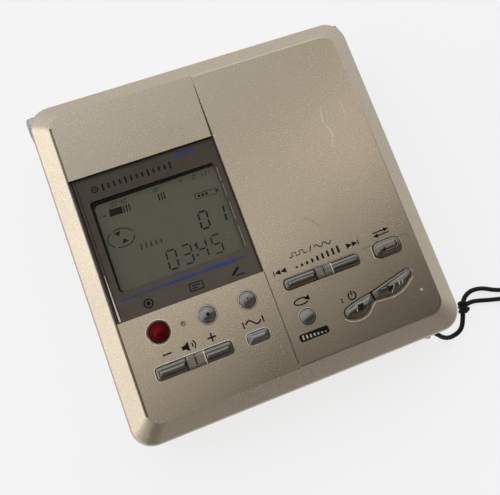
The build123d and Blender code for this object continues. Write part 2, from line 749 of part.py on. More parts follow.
with BuildPart() as bottom_case:
    with BuildSketch(Plane.XY.offset(foot_height)):
        with Locations((0, case_middle)):
            RectangleRounded(2 * case_half, case_depth, outline_radius - case_inset)
    extrude(amount=case_top - foot_height)
    fillet(bottom_case.edges().group_by(Axis.Z)[0], bottom_round)
    rounded_box(
        -case_inner, case_inner, wall_front, wall_rear, floor_top, case_top,
        outline_radius - case_inset - case_wall, mode=Mode.SUBTRACT,
    )
    # the rear is lower, under the lid's swing, and carries the hinge barrel
    block(
        -case_half, case_half, rear_cut_y, case_rear + 1, rear_ledge, case_top + 1,
        mode=Mode.SUBTRACT,
    )
    along_x(-case_half, case_half, hinge_y, hinge_z, barrel_radius)
    for side in (-1, 1):
        block(
            min(side * barrel_slot, side * case_inner), max(side * barrel_slot, side * case_inner),
            rear_cut_y - 0.2, case_rear + 1, hinge_z - barrel_radius - 0.2, case_top,
            mode=Mode.SUBTRACT,
        )
        pin_inner = case_half - pin_length
        along_x(
            min(side * pin_inner, side * case_half), max(side * pin_inner, side * case_half),
            hinge_y, hinge_z, pin_radius + pin_fit, mode=Mode.SUBTRACT,
        )
        cavity_inner = pin_inner + 2.0
        cavity_outer = cavity_inner + spring_cavity_length
        along_x(
            min(side * cavity_inner, side * cavity_outer), max(side * cavity_inner, side * cavity_outer),
            hinge_y, hinge_z, spring_cavity_radius, mode=Mode.SUBTRACT,
        )
    # corner block behind the strap pocket
    block(pocket_x0 - 1.2, case_inner + 0.2, wall_front - 0.2, wall_front + 2.9, floor_top, deck_bottom)
    block(pocket_x0, pocket_x1, case_front, case_front + strap_pocket_depth, pocket_z0, pocket_z1,
          mode=Mode.SUBTRACT)
    for wire_z in (strap_wire_z0, strap_wire_z1):
        with BuildSketch(Plane(origin=(strap_wire_x, case_front - 0.1, wire_z), z_dir=(0, 1, 0))):
            Circle(strap_wire_radius + strap_wire_fit)
        extrude(amount=strap_wire_end - case_front + 0.1, mode=Mode.SUBTRACT)
    # posts
    for post_x, post_y in screw_posts:
        upright(post_x, post_y, floor_top - 0.2, deck_bottom, screw_post_radius)
        upright(post_x, post_y, foot_height, deck_bottom, case_screw_radius + 0.05, mode=Mode.SUBTRACT)
        upright(post_x, post_y, foot_height, foot_height + 0.7, screw_head_radius + 0.1, mode=Mode.SUBTRACT)
    for post_x, post_y in damper_posts:
        upright(post_x, post_y, floor_top - 0.2, chassis_bottom - damper_height, screw_post_radius)
    # battery bay wall, and the door's opening out to the left side
    block(battery_right + 0.3, battery_right + 1.1, battery_front - 0.3, battery_rear + 3.6,
          floor_top - 0.2, chassis_bottom - 0.3)
    block(
        -case_half - 1, door_right + door_fit, door_front - door_fit, door_rear + door_fit,
        foot_height - 0.1, floor_top, mode=Mode.SUBTRACT,
    )
    # sockets in the right and left walls
    for socket_y in jack_places:
        along_x(case_inner - 0.2, case_half + 0.2, socket_y, jack_z, jack_bore_radius, mode=Mode.SUBTRACT)
    along_x(-case_half - 0.2, -case_inner + 0.2, dc_y, jack_z, dc_bore_radius, mode=Mode.SUBTRACT)
    # slots for the latch neck and the hold switch neck, and the latch spring's stop
    block(
        latch_x - latch_slot_half - latch_travel, latch_x + latch_slot_half, case_front - 0.1,
        wall_front + 0.1, latch_z - 0.8, latch_z + 0.8, mode=Mode.SUBTRACT,
    )
    block(
        case_inner - 0.1, case_half + 0.1, hold_y - 1.6, hold_y + 1.6 + hold_travel,
        hold_z - 0.6, hold_z + 0.6, mode=Mode.SUBTRACT,
    )
    block(5.3, 6.3, wall_front - 0.1, wall_front + 1.4, floor_top, latch_z + 1.0)
    # seats for the feet
    for foot_x, foot_y in foot_places:
        upright(foot_x, foot_y, foot_height, foot_height + foot_sink, foot_radius + 0.05, mode=Mode.SUBTRACT)
bottom_case.part.label = "bottom_case"
export_step(bottom_case.part, "parts/bottom_case.step")

with BuildPart() as feet:
    for foot_x, foot_y in foot_places:
        upright(foot_x, foot_y, 0, foot_height + foot_sink, foot_radius)
    fillet(feet.edges().group_by(Axis.Z)[0], 0.25)
feet.part.label = "feet"
export_step(feet.part, "parts/feet.step")

with BuildPart() as case_screws:
    for post_x, post_y in screw_posts:
        upright(post_x, post_y, foot_height + 0.15, foot_height + 0.7, screw_head_radius)
        upright(post_x, post_y, foot_height + 0.7, deck_bottom - 0.3, case_screw_radius)
        with Locations((post_x, post_y, foot_height + 0.2)):
            Box(1.5, 0.32, 0.3, mode=Mode.SUBTRACT)
            Box(0.32, 1.5, 0.3, mode=Mode.SUBTRACT)
case_screws.part.label = "case_screws"
export_step(case_screws.part, "parts/case_screws.step")

# ---- deck under the cartridge
deck_rear = rear_cut_y - 0.3
slot_x0 = lens_start - sled_half_width - 0.4
slot_x1 = lens_start + lens_travel + sled_half_width + 0.6
pickup_front = jack_rear + 2.4   # the tabs of the front rod pass behind the last socket
pickup_rear = disc_y + 6.6
locating_pin_x = 27.0
with BuildPart() as deck:
    rounded_box(
        -case_inner + 0.1, case_inner - 0.1, wall_front + 0.1, deck_rear, deck_bottom, deck_top,
        outline_radius - case_inset - case_wall,
    )
    upright(0, disc_y, deck_bottom, deck_top, turntable_radius + 0.8, mode=Mode.SUBTRACT)
    block(slot_x0, slot_x1, pickup_front - 0.6, pickup_rear + 0.6, deck_bottom, deck_top, mode=Mode.SUBTRACT)
    block(
        slot_x0, slot_x1, cartridge_rear + 1.2, deck_rear + 1, deck_bottom, deck_top,
        mode=Mode.SUBTRACT,
    )
    block(
        catch_x - catch_width / 2 - 0.4, catch_x + catch_width / 2 + 0.4, wall_front - 0.1,
        wall_front + 1.5, deck_bottom, deck_top, mode=Mode.SUBTRACT,
    )
    for side in (-1, 1):
        upright(side * locating_pin_x, disc_y - 26, deck_top, cartridge_bottom + 0.8, 1.0)
deck.part.label = "deck"
export_step(deck.part, "parts/deck.step")

# ---- circuit board with its chips
with BuildPart() as main_board:
    block(board_left, case_inner - 0.6, wall_front + 3.2, hinge_y - 4.5, board_bottom, board_top)
    for post_x, post_y in (*screw_posts, *damper_posts):
        upright(post_x, post_y, board_bottom, board_top, screw_post_radius + 0.25, mode=Mode.SUBTRACT)
    for support_x, support_y in ((-4.0, disc_y - 20), (10.0, disc_y + 24)):
        upright(support_x, support_y, floor_top, board_bottom, 1.2)
main_board.part.label = "main_board"
export_step(main_board.part, "parts/main_board.step")

with BuildPart() as board_chips:
    for chip_x, chip_y, size in ((2.0, disc_y - 20, 9.0), (15.0, disc_y - 20, 7.0), (18.0, disc_y + 14, 8.0)):
        block(chip_x - size / 2, chip_x + size / 2, chip_y - size / 2, chip_y + size / 2,
              board_top, board_top + 0.7)
board_chips.part.label = "board_chips"
export_step(board_chips.part, "parts/board_chips.step")

# ---- mechanism chassis: plate, tabs for rods and screw
rod_z = chassis_bottom - 1.9
rod_places = [pickup_front + 1.5, disc_y + 13.0]
screw_y = cartridge_rear - 9.5
screw_z = chassis_bottom - 2.3
tab_left = lens_start - sled_half_width - 0.9
tab_right = slot_x1 + 0.2
gear_x0 = 1.5
with BuildPart() as chassis:
    block(board_left + 0.4, 24.3, wall_front + 3.9, cartridge_rear + 1.0, chassis_bottom, chassis_top)
    block(24.0, case_inner - 0.9, jack_rear + 0.6, cartridge_rear + 1.0, chassis_bottom, chassis_top)
    block(slot_x0, slot_x1, pickup_front - 0.3, pickup_rear + 0.3, chassis_bottom, chassis_top,
          mode=Mode.SUBTRACT)
    upright(0, disc_y, chassis_bottom, chassis_top, 1.6, mode=Mode.SUBTRACT)
    for rod_y in rod_places:
        block(tab_left, tab_left + 0.6, rod_y - 1.4, rod_y + 1.4, rod_z - 1.4, chassis_top)
        block(tab_right, tab_right + 1.0, rod_y - 1.4, rod_y + 1.4, rod_z - 1.4, chassis_top)
        along_x(tab_left, tab_right + 1.0, rod_y, rod_z, rod_radius + 0.02, mode=Mode.SUBTRACT)
    for tab_x in (gear_x0 + gear_width + 0.6, tab_right):
        block(tab_x, tab_x + 0.9, screw_y - 1.7, screw_y + 1.7, screw_z - 1.5, chassis_top)
        along_x(tab_x, tab_x + 0.9, screw_y, screw_z, 0.65, mode=Mode.SUBTRACT)
    motor_distance = gear_module * (pinion_teeth + gear_teeth) / 2
    motor_y = screw_y - motor_distance
    block(gear_x0 - 1.1, gear_x0 - 0.4, motor_y - 2.0, motor_y + 1.0, screw_z - 1.5, chassis_top)
    along_x(gear_x0 - 1.1, gear_x0 - 0.4, motor_y, screw_z, 0.7, mode=Mode.SUBTRACT)
chassis.part.label = "chassis"
export_step(chassis.part, "parts/chassis.step")

with BuildPart() as rubber_dampers:
    for post_x, post_y in damper_posts:
        upright(post_x, post_y, chassis_bottom - damper_height, chassis_bottom, screw_post_radius)
rubber_dampers.part.label = "rubber_dampers"
export_step(rubber_dampers.part, "parts/rubber_dampers.step")

with BuildPart() as spindle_motor:
    upright(0, disc_y, chassis_bottom - motor_height, chassis_bottom, motor_radius)
    upright(0, disc_y, chassis_bottom - motor_height, chassis_bottom, 0.7, mode=Mode.SUBTRACT)
    fillet(spindle_motor.edges().group_by(Axis.Z)[0].sort_by(SortBy.LENGTH)[-1], 0.6)
spindle_motor.part.label = "spindle_motor"
export_step(spindle_motor.part, "parts/spindle_motor.step")

with BuildPart() as turntable:
    upright(0, disc_y, chassis_top + 0.3, deck_top + 0.2, turntable_radius)
    upright(0, disc_y, deck_top + 0.2, cartridge_bottom + turntable_rise, turntable_boss_radius)
    fillet(turntable.edges().group_by(Axis.Z)[-1], 0.5)
    upright(0, disc_y, chassis_bottom - motor_height + 0.3, chassis_top + 0.3, 0.6)
    for angle in range(0, 360, 60):
        upright(
            4.0 * cos(radians(angle)), disc_y + 4.0 * sin(radians(angle)), chassis_top, deck_top + 1,
            0.7, mode=Mode.SUBTRACT,
        )
turntable.part.label = "turntable"
export_step(turntable.part, "parts/turntable.step")

with BuildPart() as guide_rods:
    for rod_y in rod_places:
        along_x(tab_left, tab_right + 1.0, rod_y, rod_z, rod_radius)
guide_rods.part.label = "guide_rods"
export_step(guide_rods.part, "parts/guide_rods.step")


def gear_outline(teeth, module, turn):
    """Points round a small spur gear with straight-sided teeth, thinned for backlash."""
    pitch_radius = module * teeth / 2
    points = []
    for tooth in range(teeth):
        middle = turn + 2 * pi * tooth / teeth
        for radius, share in (
            (pitch_radius - 1.1 * module, -0.36), (pitch_radius + 0.75 * module, -0.11),
            (pitch_radius + 0.75 * module, 0.11), (pitch_radius - 1.1 * module, 0.36),
        ):
            angle = middle + share * 2 * pi / teeth
            points.append((radius * cos(angle), radius * sin(angle)))
    return points


# the screw's gear shows a gap to the pinion's tooth, across the line between them
screw_gear_turn = pi / gear_teeth
with BuildPart() as lead_screw:
    along_x(gear_x0, tab_right + 0.7, screw_y, screw_z, 0.6)
    along_x(gear_x0 + gear_width + 1.7, tab_right - 0.2, screw_y, screw_z, screw_radius)
lead_screw.part.label = "lead_screw"
export_step(lead_screw.part, "parts/lead_screw.step")

gear_plane = Plane(origin=(gear_x0, screw_y, screw_z), x_dir=(0, -1, 0), z_dir=(1, 0, 0))
with BuildPart() as screw_gear:
    with BuildSketch(gear_plane):
        Polygon(*gear_outline(gear_teeth, gear_module, screw_gear_turn), align=None)
        Circle(0.6, mode=Mode.SUBTRACT)
    extrude(amount=gear_width)
screw_gear.part.label = "screw_gear"
export_step(screw_gear.part, "parts/screw_gear.step")

pinion_plane = Plane(origin=(gear_x0, motor_y, screw_z), x_dir=(0, 1, 0), z_dir=(1, 0, 0))
with BuildPart() as motor_pinion:
    with BuildSketch(pinion_plane):
        Polygon(*gear_outline(pinion_teeth, gear_module, 0), align=None)
    extrude(amount=gear_width)
    along_x(gear_x0 - 1.6, gear_x0, motor_y, screw_z, 0.4)
motor_pinion.part.label = "motor_pinion"
export_step(motor_pinion.part, "parts/motor_pinion.step")

sled_motor_radius = 2.1
with BuildPart() as sled_motor:
    along_x(gear_x0 - 11.5, gear_x0 - 1.1, motor_y - 0.0, screw_z, sled_motor_radius)
    along_x(gear_x0 - 2.0, gear_x0 - 1.1, motor_y, screw_z, 0.45, mode=Mode.SUBTRACT)
sled_motor.part.label = "sled_motor"
export_step(sled_motor.part, "parts/sled_motor.step")

# ---- pickup sled, its lens, and the recording head on its arm
column_front = cartridge_rear + 2.3
column_rear = column_front + 3.2
head_pivot_y = (column_front + column_rear) / 2
head_pivot_z = arm_bottom - 2.2
head_pivot_radius = 0.5
sled_bottom = board_top + 1.3
sled_top = deck_top - 0.3
with BuildPart() as pickup_sled:
    block(
        lens_start - sled_half_width, lens_start + sled_half_width, pickup_front, pickup_rear,
        sled_bottom, sled_top,
    )
    block(lens_start - 3, lens_start + 3, pickup_rear - 0.5, column_rear, sled_bottom, chassis_bottom - 0.4)
    block(
        lens_start - 2.4, lens_start + 2.4, column_front, column_rear, sled_bottom, head_pivot_z + 1.0,
    )
    for rod_y in rod_places:
        along_x(
            lens_start - sled_half_width, lens_start + sled_half_width, rod_y, rod_z,
            rod_radius + rod_fit, mode=Mode.SUBTRACT,
        )
    along_x(lens_start - 3, lens_start + 3, screw_y, screw_z, screw_radius + 0.06, mode=Mode.SUBTRACT)
    along_x(
        lens_start - 3, lens_start + 3, head_pivot_y, head_pivot_z, head_pivot_radius + pin_fit,
        mode=Mode.SUBTRACT,
    )
pickup_sled.part.label = "pickup_sled"
export_step(pickup_sled.part, "parts/pickup_sled.step")

with BuildPart() as objective_lens:
    upright(lens_start, disc_y, sled_top, deck_top + 0.1, 1.9)
    upright(lens_start, disc_y, deck_top + 0.1, deck_top + 0.4, 1.3)
    fillet(objective_lens.edges().group_by(Axis.Z)[-1], 0.25)
objective_lens.part.label = "objective_lens"
export_step(objective_lens.part, "parts/objective_lens.step")

with BuildPart() as head_pivot_pin:
    along_x(lens_start - 3.0, lens_start + 3.0, head_pivot_y, head_pivot_z, head_pivot_radius)
head_pivot_pin.part.label = "head_pivot_pin"
export_step(head_pivot_pin.part, "parts/head_pivot_pin.step")

with BuildPart() as head_arm:
    block(lens_start - 3.0, lens_start + 3.0, head_pivot_y - 8, head_pivot_y + 1.2, arm_bottom, arm_top)
    with BuildSketch(Plane.XY.offset(arm_bottom)):
        with BuildLine():
            Polyline(
                (lens_start - 3.0, head_pivot_y - 7), (lens_start + 3.0, head_pivot_y - 7),
                (lens_start + 1.6, disc_y - 2), (lens_start - 1.6, disc_y - 2), close=True,
            )
        make_face()
    extrude(amount=arm_thickness)
    for side in (-1, 1):
        ear_x0 = lens_start + (side * 2.85 - 0.15)
        block(ear_x0, ear_x0 + 0.3, head_pivot_y - 1.2, head_pivot_y + 1.2, head_pivot_z - 1.0, arm_top)
    along_x(
        lens_start - 3.2, lens_start + 3.2, head_pivot_y, head_pivot_z, head_pivot_radius + pin_fit,
        mode=Mode.SUBTRACT,
    )
head_arm.part.label = "head_arm"
export_step(head_arm.part, "parts/head_arm.step")

with BuildPart() as magnetic_head:
    block(lens_start - 1.4, lens_start + 1.4, disc_y - 1.4, disc_y + 1.4, arm_bottom - 0.4, arm_bottom)
magnetic_head.part.label = "magnetic_head"
export_step(magnetic_head.part, "parts/magnetic_head.step")

# ---- battery, its contacts and its door
battery_left = battery_right - battery_width
with BuildPart() as battery_pack:
    block(
        battery_left, battery_right, battery_front, battery_rear,
        floor_top + 0.1, floor_top + 0.1 + battery_height,
    )
    fillet(battery_pack.edges().filter_by(Axis.Y), 0.8)
battery_pack.part.label = "battery_pack"
export_step(battery_pack.part, "parts/battery_pack.step")

contact_block_rear = battery_rear + 3.0
with BuildPart() as contact_block:
    block(battery_left + 4, battery_right - 3, battery_rear + 1.0, contact_block_rear, floor_top, floor_top + 5)
contact_block.part.label = "contact_block"
export_step(contact_block.part, "parts/contact_block.step")

with BuildPart() as battery_contacts:
    for contact_x in (battery_left + 7, battery_left + 10.5, battery_left + 14):
        block(contact_x - 0.6, contact_x + 0.6, battery_rear + 0.05, battery_rear + 1.0,
              floor_top + 1.5, floor_top + 3.5)
battery_contacts.part.label = "battery_contacts"
export_step(battery_contacts.part, "parts/battery_contacts.step")

with BuildPart() as battery_door:
    block(-case_half, door_right, door_front, door_rear, foot_height, floor_top - door_fit)
    fillet(battery_door.edges().filter_by(Axis.Y).sort_by(Axis.X)[:2].sort_by(Axis.Z)[0], bottom_round)
    # finger ridges
    for ridge in range(5):
        block(
            -30.0 + 1.6 * ridge, -29.2 + 1.6 * ridge, disc_y - 14, disc_y - 4,
            foot_height - 0.01, foot_height + 0.25, mode=Mode.SUBTRACT,
        )
battery_door.part.label = "battery_door"
export_step(battery_door.part, "parts/battery_door.step")

# ---- sockets
socket_nodes = {"phones_jack": jack_places[0], "line_jack": jack_places[1], "mic_jack": jack_places[2]}
for name, socket_y in socket_nodes.items():
    with BuildPart() as socket:
        block(
            case_inner - jack_length, case_inner, socket_y - jack_width / 2, socket_y + jack_width / 2,
            jack_z - jack_body / 2, jack_z + jack_body / 2,
        )
        along_x(case_inner - jack_bore_length, case_inner, socket_y, jack_z, jack_bore_radius,
                mode=Mode.SUBTRACT)
    socket.part.label = name
    export_step(socket.part, f"parts/{name}.step")

with BuildPart() as dc_jack:
    block(
        -case_inner, -case_inner + dc_bore_depth + 3, dc_y - jack_width / 2, dc_y + jack_width / 2,
        jack_z - jack_body / 2, jack_z + jack_body / 2,
    )
    along_x(-case_inner, -case_inner + dc_bore_depth, dc_y, jack_z, dc_bore_radius, mode=Mode.SUBTRACT)
    along_x(-case_inner + 0.5, -case_inner + dc_bore_depth, dc_y, jack_z, dc_pin_radius)
dc_jack.part.label = "dc_jack"
export_step(dc_jack.part, "parts/dc_jack.step")

# ---- hinge pins, springs and the round caps outside
with BuildPart() as hinge_pins:
    for side in (-1, 1):
        along_x(
            min(side * pin_inner, side * case_half), max(side * pin_inner, side * case_half),
            hinge_y, hinge_z, pin_radius,
        )
hinge_pins.part.label = "hinge_pins"
export_step(hinge_pins.part, "parts/hinge_pins.step")

coil_wire = 0.25
coil_count = 9
with BuildPart() as lid_springs:
    for side in (-1, 1):
        for coil in range(coil_count):
            coil_x = side * (cavity_inner + 0.8 + coil * 2 * coil_wire * 1.15)
            with Locations((coil_x, hinge_y, hinge_z)):
                Cylinder(1.4, 2 * coil_wire, rotation=(0, 90, 0))
        coil_x0 = side * (cavity_inner + 0.5)
        coil_x1 = side * (cavity_inner + 1.1 + (coil_count - 1) * 2 * coil_wire * 1.15)
        along_x(min(coil_x0, coil_x1), max(coil_x0, coil_x1), hinge_y, hinge_z, 1.2)
    along_x(-case_half, case_half, hinge_y, hinge_z, pin_radius + pin_fit, mode=Mode.SUBTRACT)
lid_springs.part.label = "lid_springs"
export_step(lid_springs.part, "parts/lid_springs.step")

with BuildPart() as hinge_caps:
    for side in (-1, 1):
        cap_x0 = side * case_half
        cap_x1 = side * (lid_half + hinge_cap_gap)
        cap_x2 = side * (lid_half + hinge_cap_gap + hinge_cap_thickness)
        along_x(min(cap_x0, cap_x1), max(cap_x0, cap_x1), hinge_y, hinge_z, barrel_radius)
        along_x(min(cap_x1, cap_x2), max(cap_x1, cap_x2), hinge_y, hinge_z, hinge_cap_radius)
    fillet(hinge_caps.edges().group_by(Axis.X)[0], 0.4)
    fillet(hinge_caps.edges().group_by(Axis.X)[-1], 0.4)
hinge_caps.part.label = "hinge_caps"
export_step(hinge_caps.part, "parts/hinge_caps.step")

# ---- open latch at the front
plate_y0 = wall_front + 0.2
plate_y1 = wall_front + 1.0
plate_right = catch_x - catch_width / 2 - 0.2
with BuildPart() as open_latch:
    block(
        latch_x - latch_knob_width / 2, latch_x + latch_knob_width / 2,
        case_front - latch_proud, case_front - 0.1, latch_z - latch_knob_below, latch_z + latch_knob_above,
    )
    fillet(open_latch.edges().group_by(Axis.Y)[0], 0.35)
    for ridge in range(5):
        block(
            latch_x - 2.6 + 1.2 * ridge, latch_x - 2.2 + 1.2 * ridge, case_front - latch_proud,
            case_front - latch_proud + 0.2, latch_z - latch_knob_below, latch_z + latch_knob_above,
            mode=Mode.SUBTRACT,
        )
    block(latch_x - 2.0, latch_x + 2.0, case_front - 0.1, plate_y0, latch_z - 0.7, latch_z + 0.7)
    block(latch_x - 4.0, plate_right, plate_y0, plate_y1, latch_z - 1.2, latch_z + 1.2)
open_latch.part.label = "open_latch"
export_step(open_latch.part, "parts/open_latch.step")

with BuildPart() as latch_spring:
    along_x(catch_x + catch_width / 2 + 0.4, 5.3, (plate_y0 + plate_y1) / 2, latch_z - 2.0, 0.35)
latch_spring.part.label = "latch_spring"
export_step(latch_spring.part, "parts/latch_spring.step")

with BuildPart() as hold_switch:
    block(case_half + 0.1, case_half + hold_proud, hold_y - 2.5, hold_y + 2.5, hold_z - 1.1, hold_z + 1.1)
    fillet(hold_switch.edges().group_by(Axis.X)[-1], 0.25)
    block(case_inner - 0.1, case_half + 0.1, hold_y - 1.4, hold_y + 1.4, hold_z - 0.5, hold_z + 0.5)
    block(case_inner - 0.6, case_inner - 0.1, hold_y - 3.0, hold_y + 3.0, hold_z - 1.2, hold_z + 1.2)
hold_switch.part.label = "hold_switch"
export_step(hold_switch.part, "parts/hold_switch.step")

# ---- strap: wire eye, cord and knot
with BuildPart() as strap_eye:
    with BuildLine() as eye_path:
        FilletPolyline(
            (strap_wire_x, strap_wire_end, strap_wire_z0), (strap_wire_x, strap_wire_y, strap_wire_z0),
            (strap_wire_x, strap_wire_y, strap_wire_z1), (strap_wire_x, strap_wire_end, strap_wire_z1),
            radius=strap_wire_bend,
        )
    with BuildSketch(Plane(origin=eye_path.line @ 0, z_dir=eye_path.line % 0)):
        Circle(strap_wire_radius)
    sweep()
strap_eye.part.label = "strap_eye"
export_step(strap_eye.part, "parts/strap_eye.step")

cord_floor = cord_diameter / 2
cord_route = [
    (32.8, -39.7, 6.3), (35.0, -40.3, 6.1), (37.2, -42.3, 4.9), (39.6, -44.4, 2.7),
    (42.6, -45.3, cord_floor), (45.9, -44.5, cord_floor), (47.7, -41.5, cord_floor),
    (48.4, -38.9, 0.9), (50.0, -36.8, 0.8), (52.6, -35.8, cord_floor),
    (55.8, -36.3, cord_floor), (58.6, -37.9, cord_floor), (61.3, -38.9, cord_floor),
    (64.4, -37.7, cord_floor), (66.9, -39.6, cord_floor), (66.0, -42.6, cord_floor),
    (62.9, -42.6, cord_floor), (60.2, -40.9, cord_floor), (56.9, -40.1, cord_floor),
    (53.5, -39.05, cord_floor), (50.9, -38.5, 0.8), (49.0, -38.9, 0.9),
]


def corner_radii(points):
    """Radius of the arc at each inner point: as large as its two runs allow."""
    vectors = [Vector(*point) for point in points]
    radii = []
    for before, here, after in zip(vectors, vectors[1:], vectors[2:]):
        arriving = here - before
        leaving = after - here
        half_turn = radians(arriving.get_angle(leaving)) / 2
        radii.append(0.45 * min(arriving.length, leaving.length) / tan(half_turn))
    return radii


cord_radii = corner_radii(cord_route)
with BuildPart() as strap_cord:
    with BuildLine() as cord_path:
        FilletPolyline(*cord_route, radius=cord_radii)
    with BuildSketch(Plane(origin=cord_path.line @ 0, z_dir=cord_path.line % 0)):
        Circle(cord_diameter / 2)
    sweep()
strap_cord.part.label = "strap_cord"
export_step(strap_cord.part, "parts/strap_cord.step")
cord_section = pi * (cord_diameter / 2) ** 2
print("cord length", round(cord_path.wire().length, 2))
print("cord volume over section times length",
      round(strap_cord.part.volume / (cord_section * cord_path.wire().length), 4))
print("cord radii", [round(radius, 2) for radius in cord_radii])

knot_radius = 1.25
knot_length = 3.7
knot_end_round = 1.0
stub_radius = 0.7
stub_length = 2.6
knot_place = (48.35, -39.1, knot_radius)
with BuildPart() as strap_knot:
    with BuildSketch(Plane(origin=knot_place, z_dir=(0.3, 1.0, 0.0))):
        Circle(knot_radius)
    extrude(amount=knot_length / 2, both=True)
    fillet(strap_knot.edges().filter_by(GeomType.CIRCLE), knot_end_round)
    with BuildSketch(Plane(origin=knot_place, z_dir=(1.0, -0.65, 0.0))):
        Circle(stub_radius)
    extrude(amount=stub_length)
strap_knot.part.label = "strap_knot"
export_step(strap_knot.part, "parts/strap_knot.step")
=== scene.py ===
import json
import math
import random

import bmesh
import bpy
from mathutils import Matrix, Vector
from mathutils.bvhtree import BVHTree


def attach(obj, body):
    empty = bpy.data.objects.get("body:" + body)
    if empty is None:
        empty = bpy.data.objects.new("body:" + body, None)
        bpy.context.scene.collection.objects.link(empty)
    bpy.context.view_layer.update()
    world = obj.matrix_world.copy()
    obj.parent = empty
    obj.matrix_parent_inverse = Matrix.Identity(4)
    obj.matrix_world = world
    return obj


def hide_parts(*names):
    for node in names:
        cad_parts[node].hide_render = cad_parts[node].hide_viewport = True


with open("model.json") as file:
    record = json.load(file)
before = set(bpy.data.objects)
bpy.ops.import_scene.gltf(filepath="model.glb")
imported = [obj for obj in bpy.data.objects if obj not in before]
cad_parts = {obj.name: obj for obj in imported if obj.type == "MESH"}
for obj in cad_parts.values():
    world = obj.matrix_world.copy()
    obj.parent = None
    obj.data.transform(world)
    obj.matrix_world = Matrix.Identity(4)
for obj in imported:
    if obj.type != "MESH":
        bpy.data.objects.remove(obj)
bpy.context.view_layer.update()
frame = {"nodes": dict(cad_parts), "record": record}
mm = 0.001
print("frame loaded:", len(frame["nodes"]), "nodes")

# camera at the photograph's viewing angle
viewPoint = {
    "place": (-17.902, -20.656, 136.303),
    "right": (0.93294, -0.34939, 0.08688),
    "down": (-0.33386, -0.92988, -0.15445),
    "forward": (0.13475, 0.11509, -0.98417),
    "lens": 37.886,
}
cameraData = bpy.data.cameras.new("photoCamera")
cameraData.lens = viewPoint["lens"]
cameraData.sensor_width = 36
cameraData.clip_start = 0.005
photoCamera = bpy.data.objects.new("photoCamera", cameraData)
bpy.context.scene.collection.objects.link(photoCamera)
across = Vector(viewPoint["right"])
upward = -Vector(viewPoint["down"])
backward = -Vector(viewPoint["forward"])
turned = Matrix((across, upward, backward)).transposed().to_4x4()
turned.translation = Vector(viewPoint["place"]) * mm
photoCamera.matrix_world = turned
bpy.context.scene.camera = photoCamera
bpy.context.scene.view_settings.view_transform = "Standard"


# materials: colour and roughness wander with a grain, and the grain gives the bump
def makeFinish(name, look):
    made = bpy.data.materials.new(name)
    made.use_nodes = True
    tree = made.node_tree
    shader = tree.nodes["Principled BSDF"]
    coords = tree.nodes.new("ShaderNodeTexCoord")
    mapping = tree.nodes.new("ShaderNodeMapping")
    mapping.inputs["Scale"].default_value = look.get("stretch", (1, 1, 1))
    tree.links.new(coords.outputs["Object"], mapping.inputs["Vector"])
    grain = tree.nodes.new("ShaderNodeTexNoise")
    grain.inputs["Scale"].default_value = look["grain"]
    grain.inputs["Detail"].default_value = look.get("detail", 3)
    tree.links.new(mapping.outputs["Vector"], grain.inputs["Vector"])
    cloud = tree.nodes.new("ShaderNodeTexNoise")
    cloud.inputs["Scale"].default_value = look.get("cloud", 60)
    cloud.inputs["Detail"].default_value = 4
    tree.links.new(coords.outputs["Object"], cloud.inputs["Vector"])
    blend = tree.nodes.new("ShaderNodeMix")
    blend.data_type = "RGBA"
    blend.inputs[6].default_value = (*look["colour"], 1)
    blend.inputs[7].default_value = (*look.get("tint", look["colour"]), 1)
    spread = tree.nodes.new("ShaderNodeMapRange")
    spread.inputs["From Min"].default_value = 0.3
    spread.inputs["From Max"].default_value = 0.7
    tree.links.new(grain.outputs["Fac"], spread.inputs["Value"])
    tree.links.new(spread.outputs["Result"], blend.inputs[0])
    colourOut = blend.outputs[2]
    if "flake" in look:  # bright specks of the metallic paint
        flakes = tree.nodes.new("ShaderNodeTexVoronoi")
        flakes.inputs["Scale"].default_value = look["flake"]
        tree.links.new(coords.outputs["Object"], flakes.inputs["Vector"])
        near = tree.nodes.new("ShaderNodeMapRange")
        near.inputs["From Min"].default_value = look["flakeSize"]
        near.inputs["From Max"].default_value = 0.02
        near.inputs["To Max"].default_value = look["flakeShine"]
        tree.links.new(flakes.outputs["Distance"], near.inputs["Value"])
        sparkle = tree.nodes.new("ShaderNodeMix")
        sparkle.data_type = "RGBA"
        sparkle.inputs[7].default_value = (*look["flakeColour"], 1)
        tree.links.new(near.outputs["Result"], sparkle.inputs[0])
        tree.links.new(colourOut, sparkle.inputs[6])
        colourOut = sparkle.outputs[2]
    tree.links.new(colourOut, shader.inputs["Base Color"])
    uneven = tree.nodes.new("ShaderNodeMapRange")
    uneven.inputs["From Min"].default_value = 0.3
    uneven.inputs["From Max"].default_value = 0.7
    uneven.inputs["To Min"].default_value = look["rough"][0]
    uneven.inputs["To Max"].default_value = look["rough"][1]
    tree.links.new(cloud.outputs["Fac"], uneven.inputs["Value"])
    tree.links.new(uneven.outputs["Result"], shader.inputs["Roughness"])
    bump = tree.nodes.new("ShaderNodeBump")
    bump.inputs["Strength"].default_value = look.get("bumpStrength", 0.3)
    bump.inputs["Distance"].default_value = look.get("bump", 0.02) * mm
    tree.links.new(grain.outputs["Fac"], bump.inputs["Height"])
    tree.links.new(bump.outputs["Normal"], shader.inputs["Normal"])
    shader.inputs["Metallic"].default_value = look.get("metal", 0)
    shader.inputs["Specular IOR Level"].default_value = look.get("specular", 0.5)
    shader.inputs["Coat Weight"].default_value = look.get("coat", 0)
    shader.inputs["Coat Roughness"].default_value = look.get("coatRough", 0.05)
    shader.inputs["Alpha"].default_value = look.get("alpha", 1)
    shader.inputs["Sheen Weight"].default_value = look.get("sheen", 0)
    return made


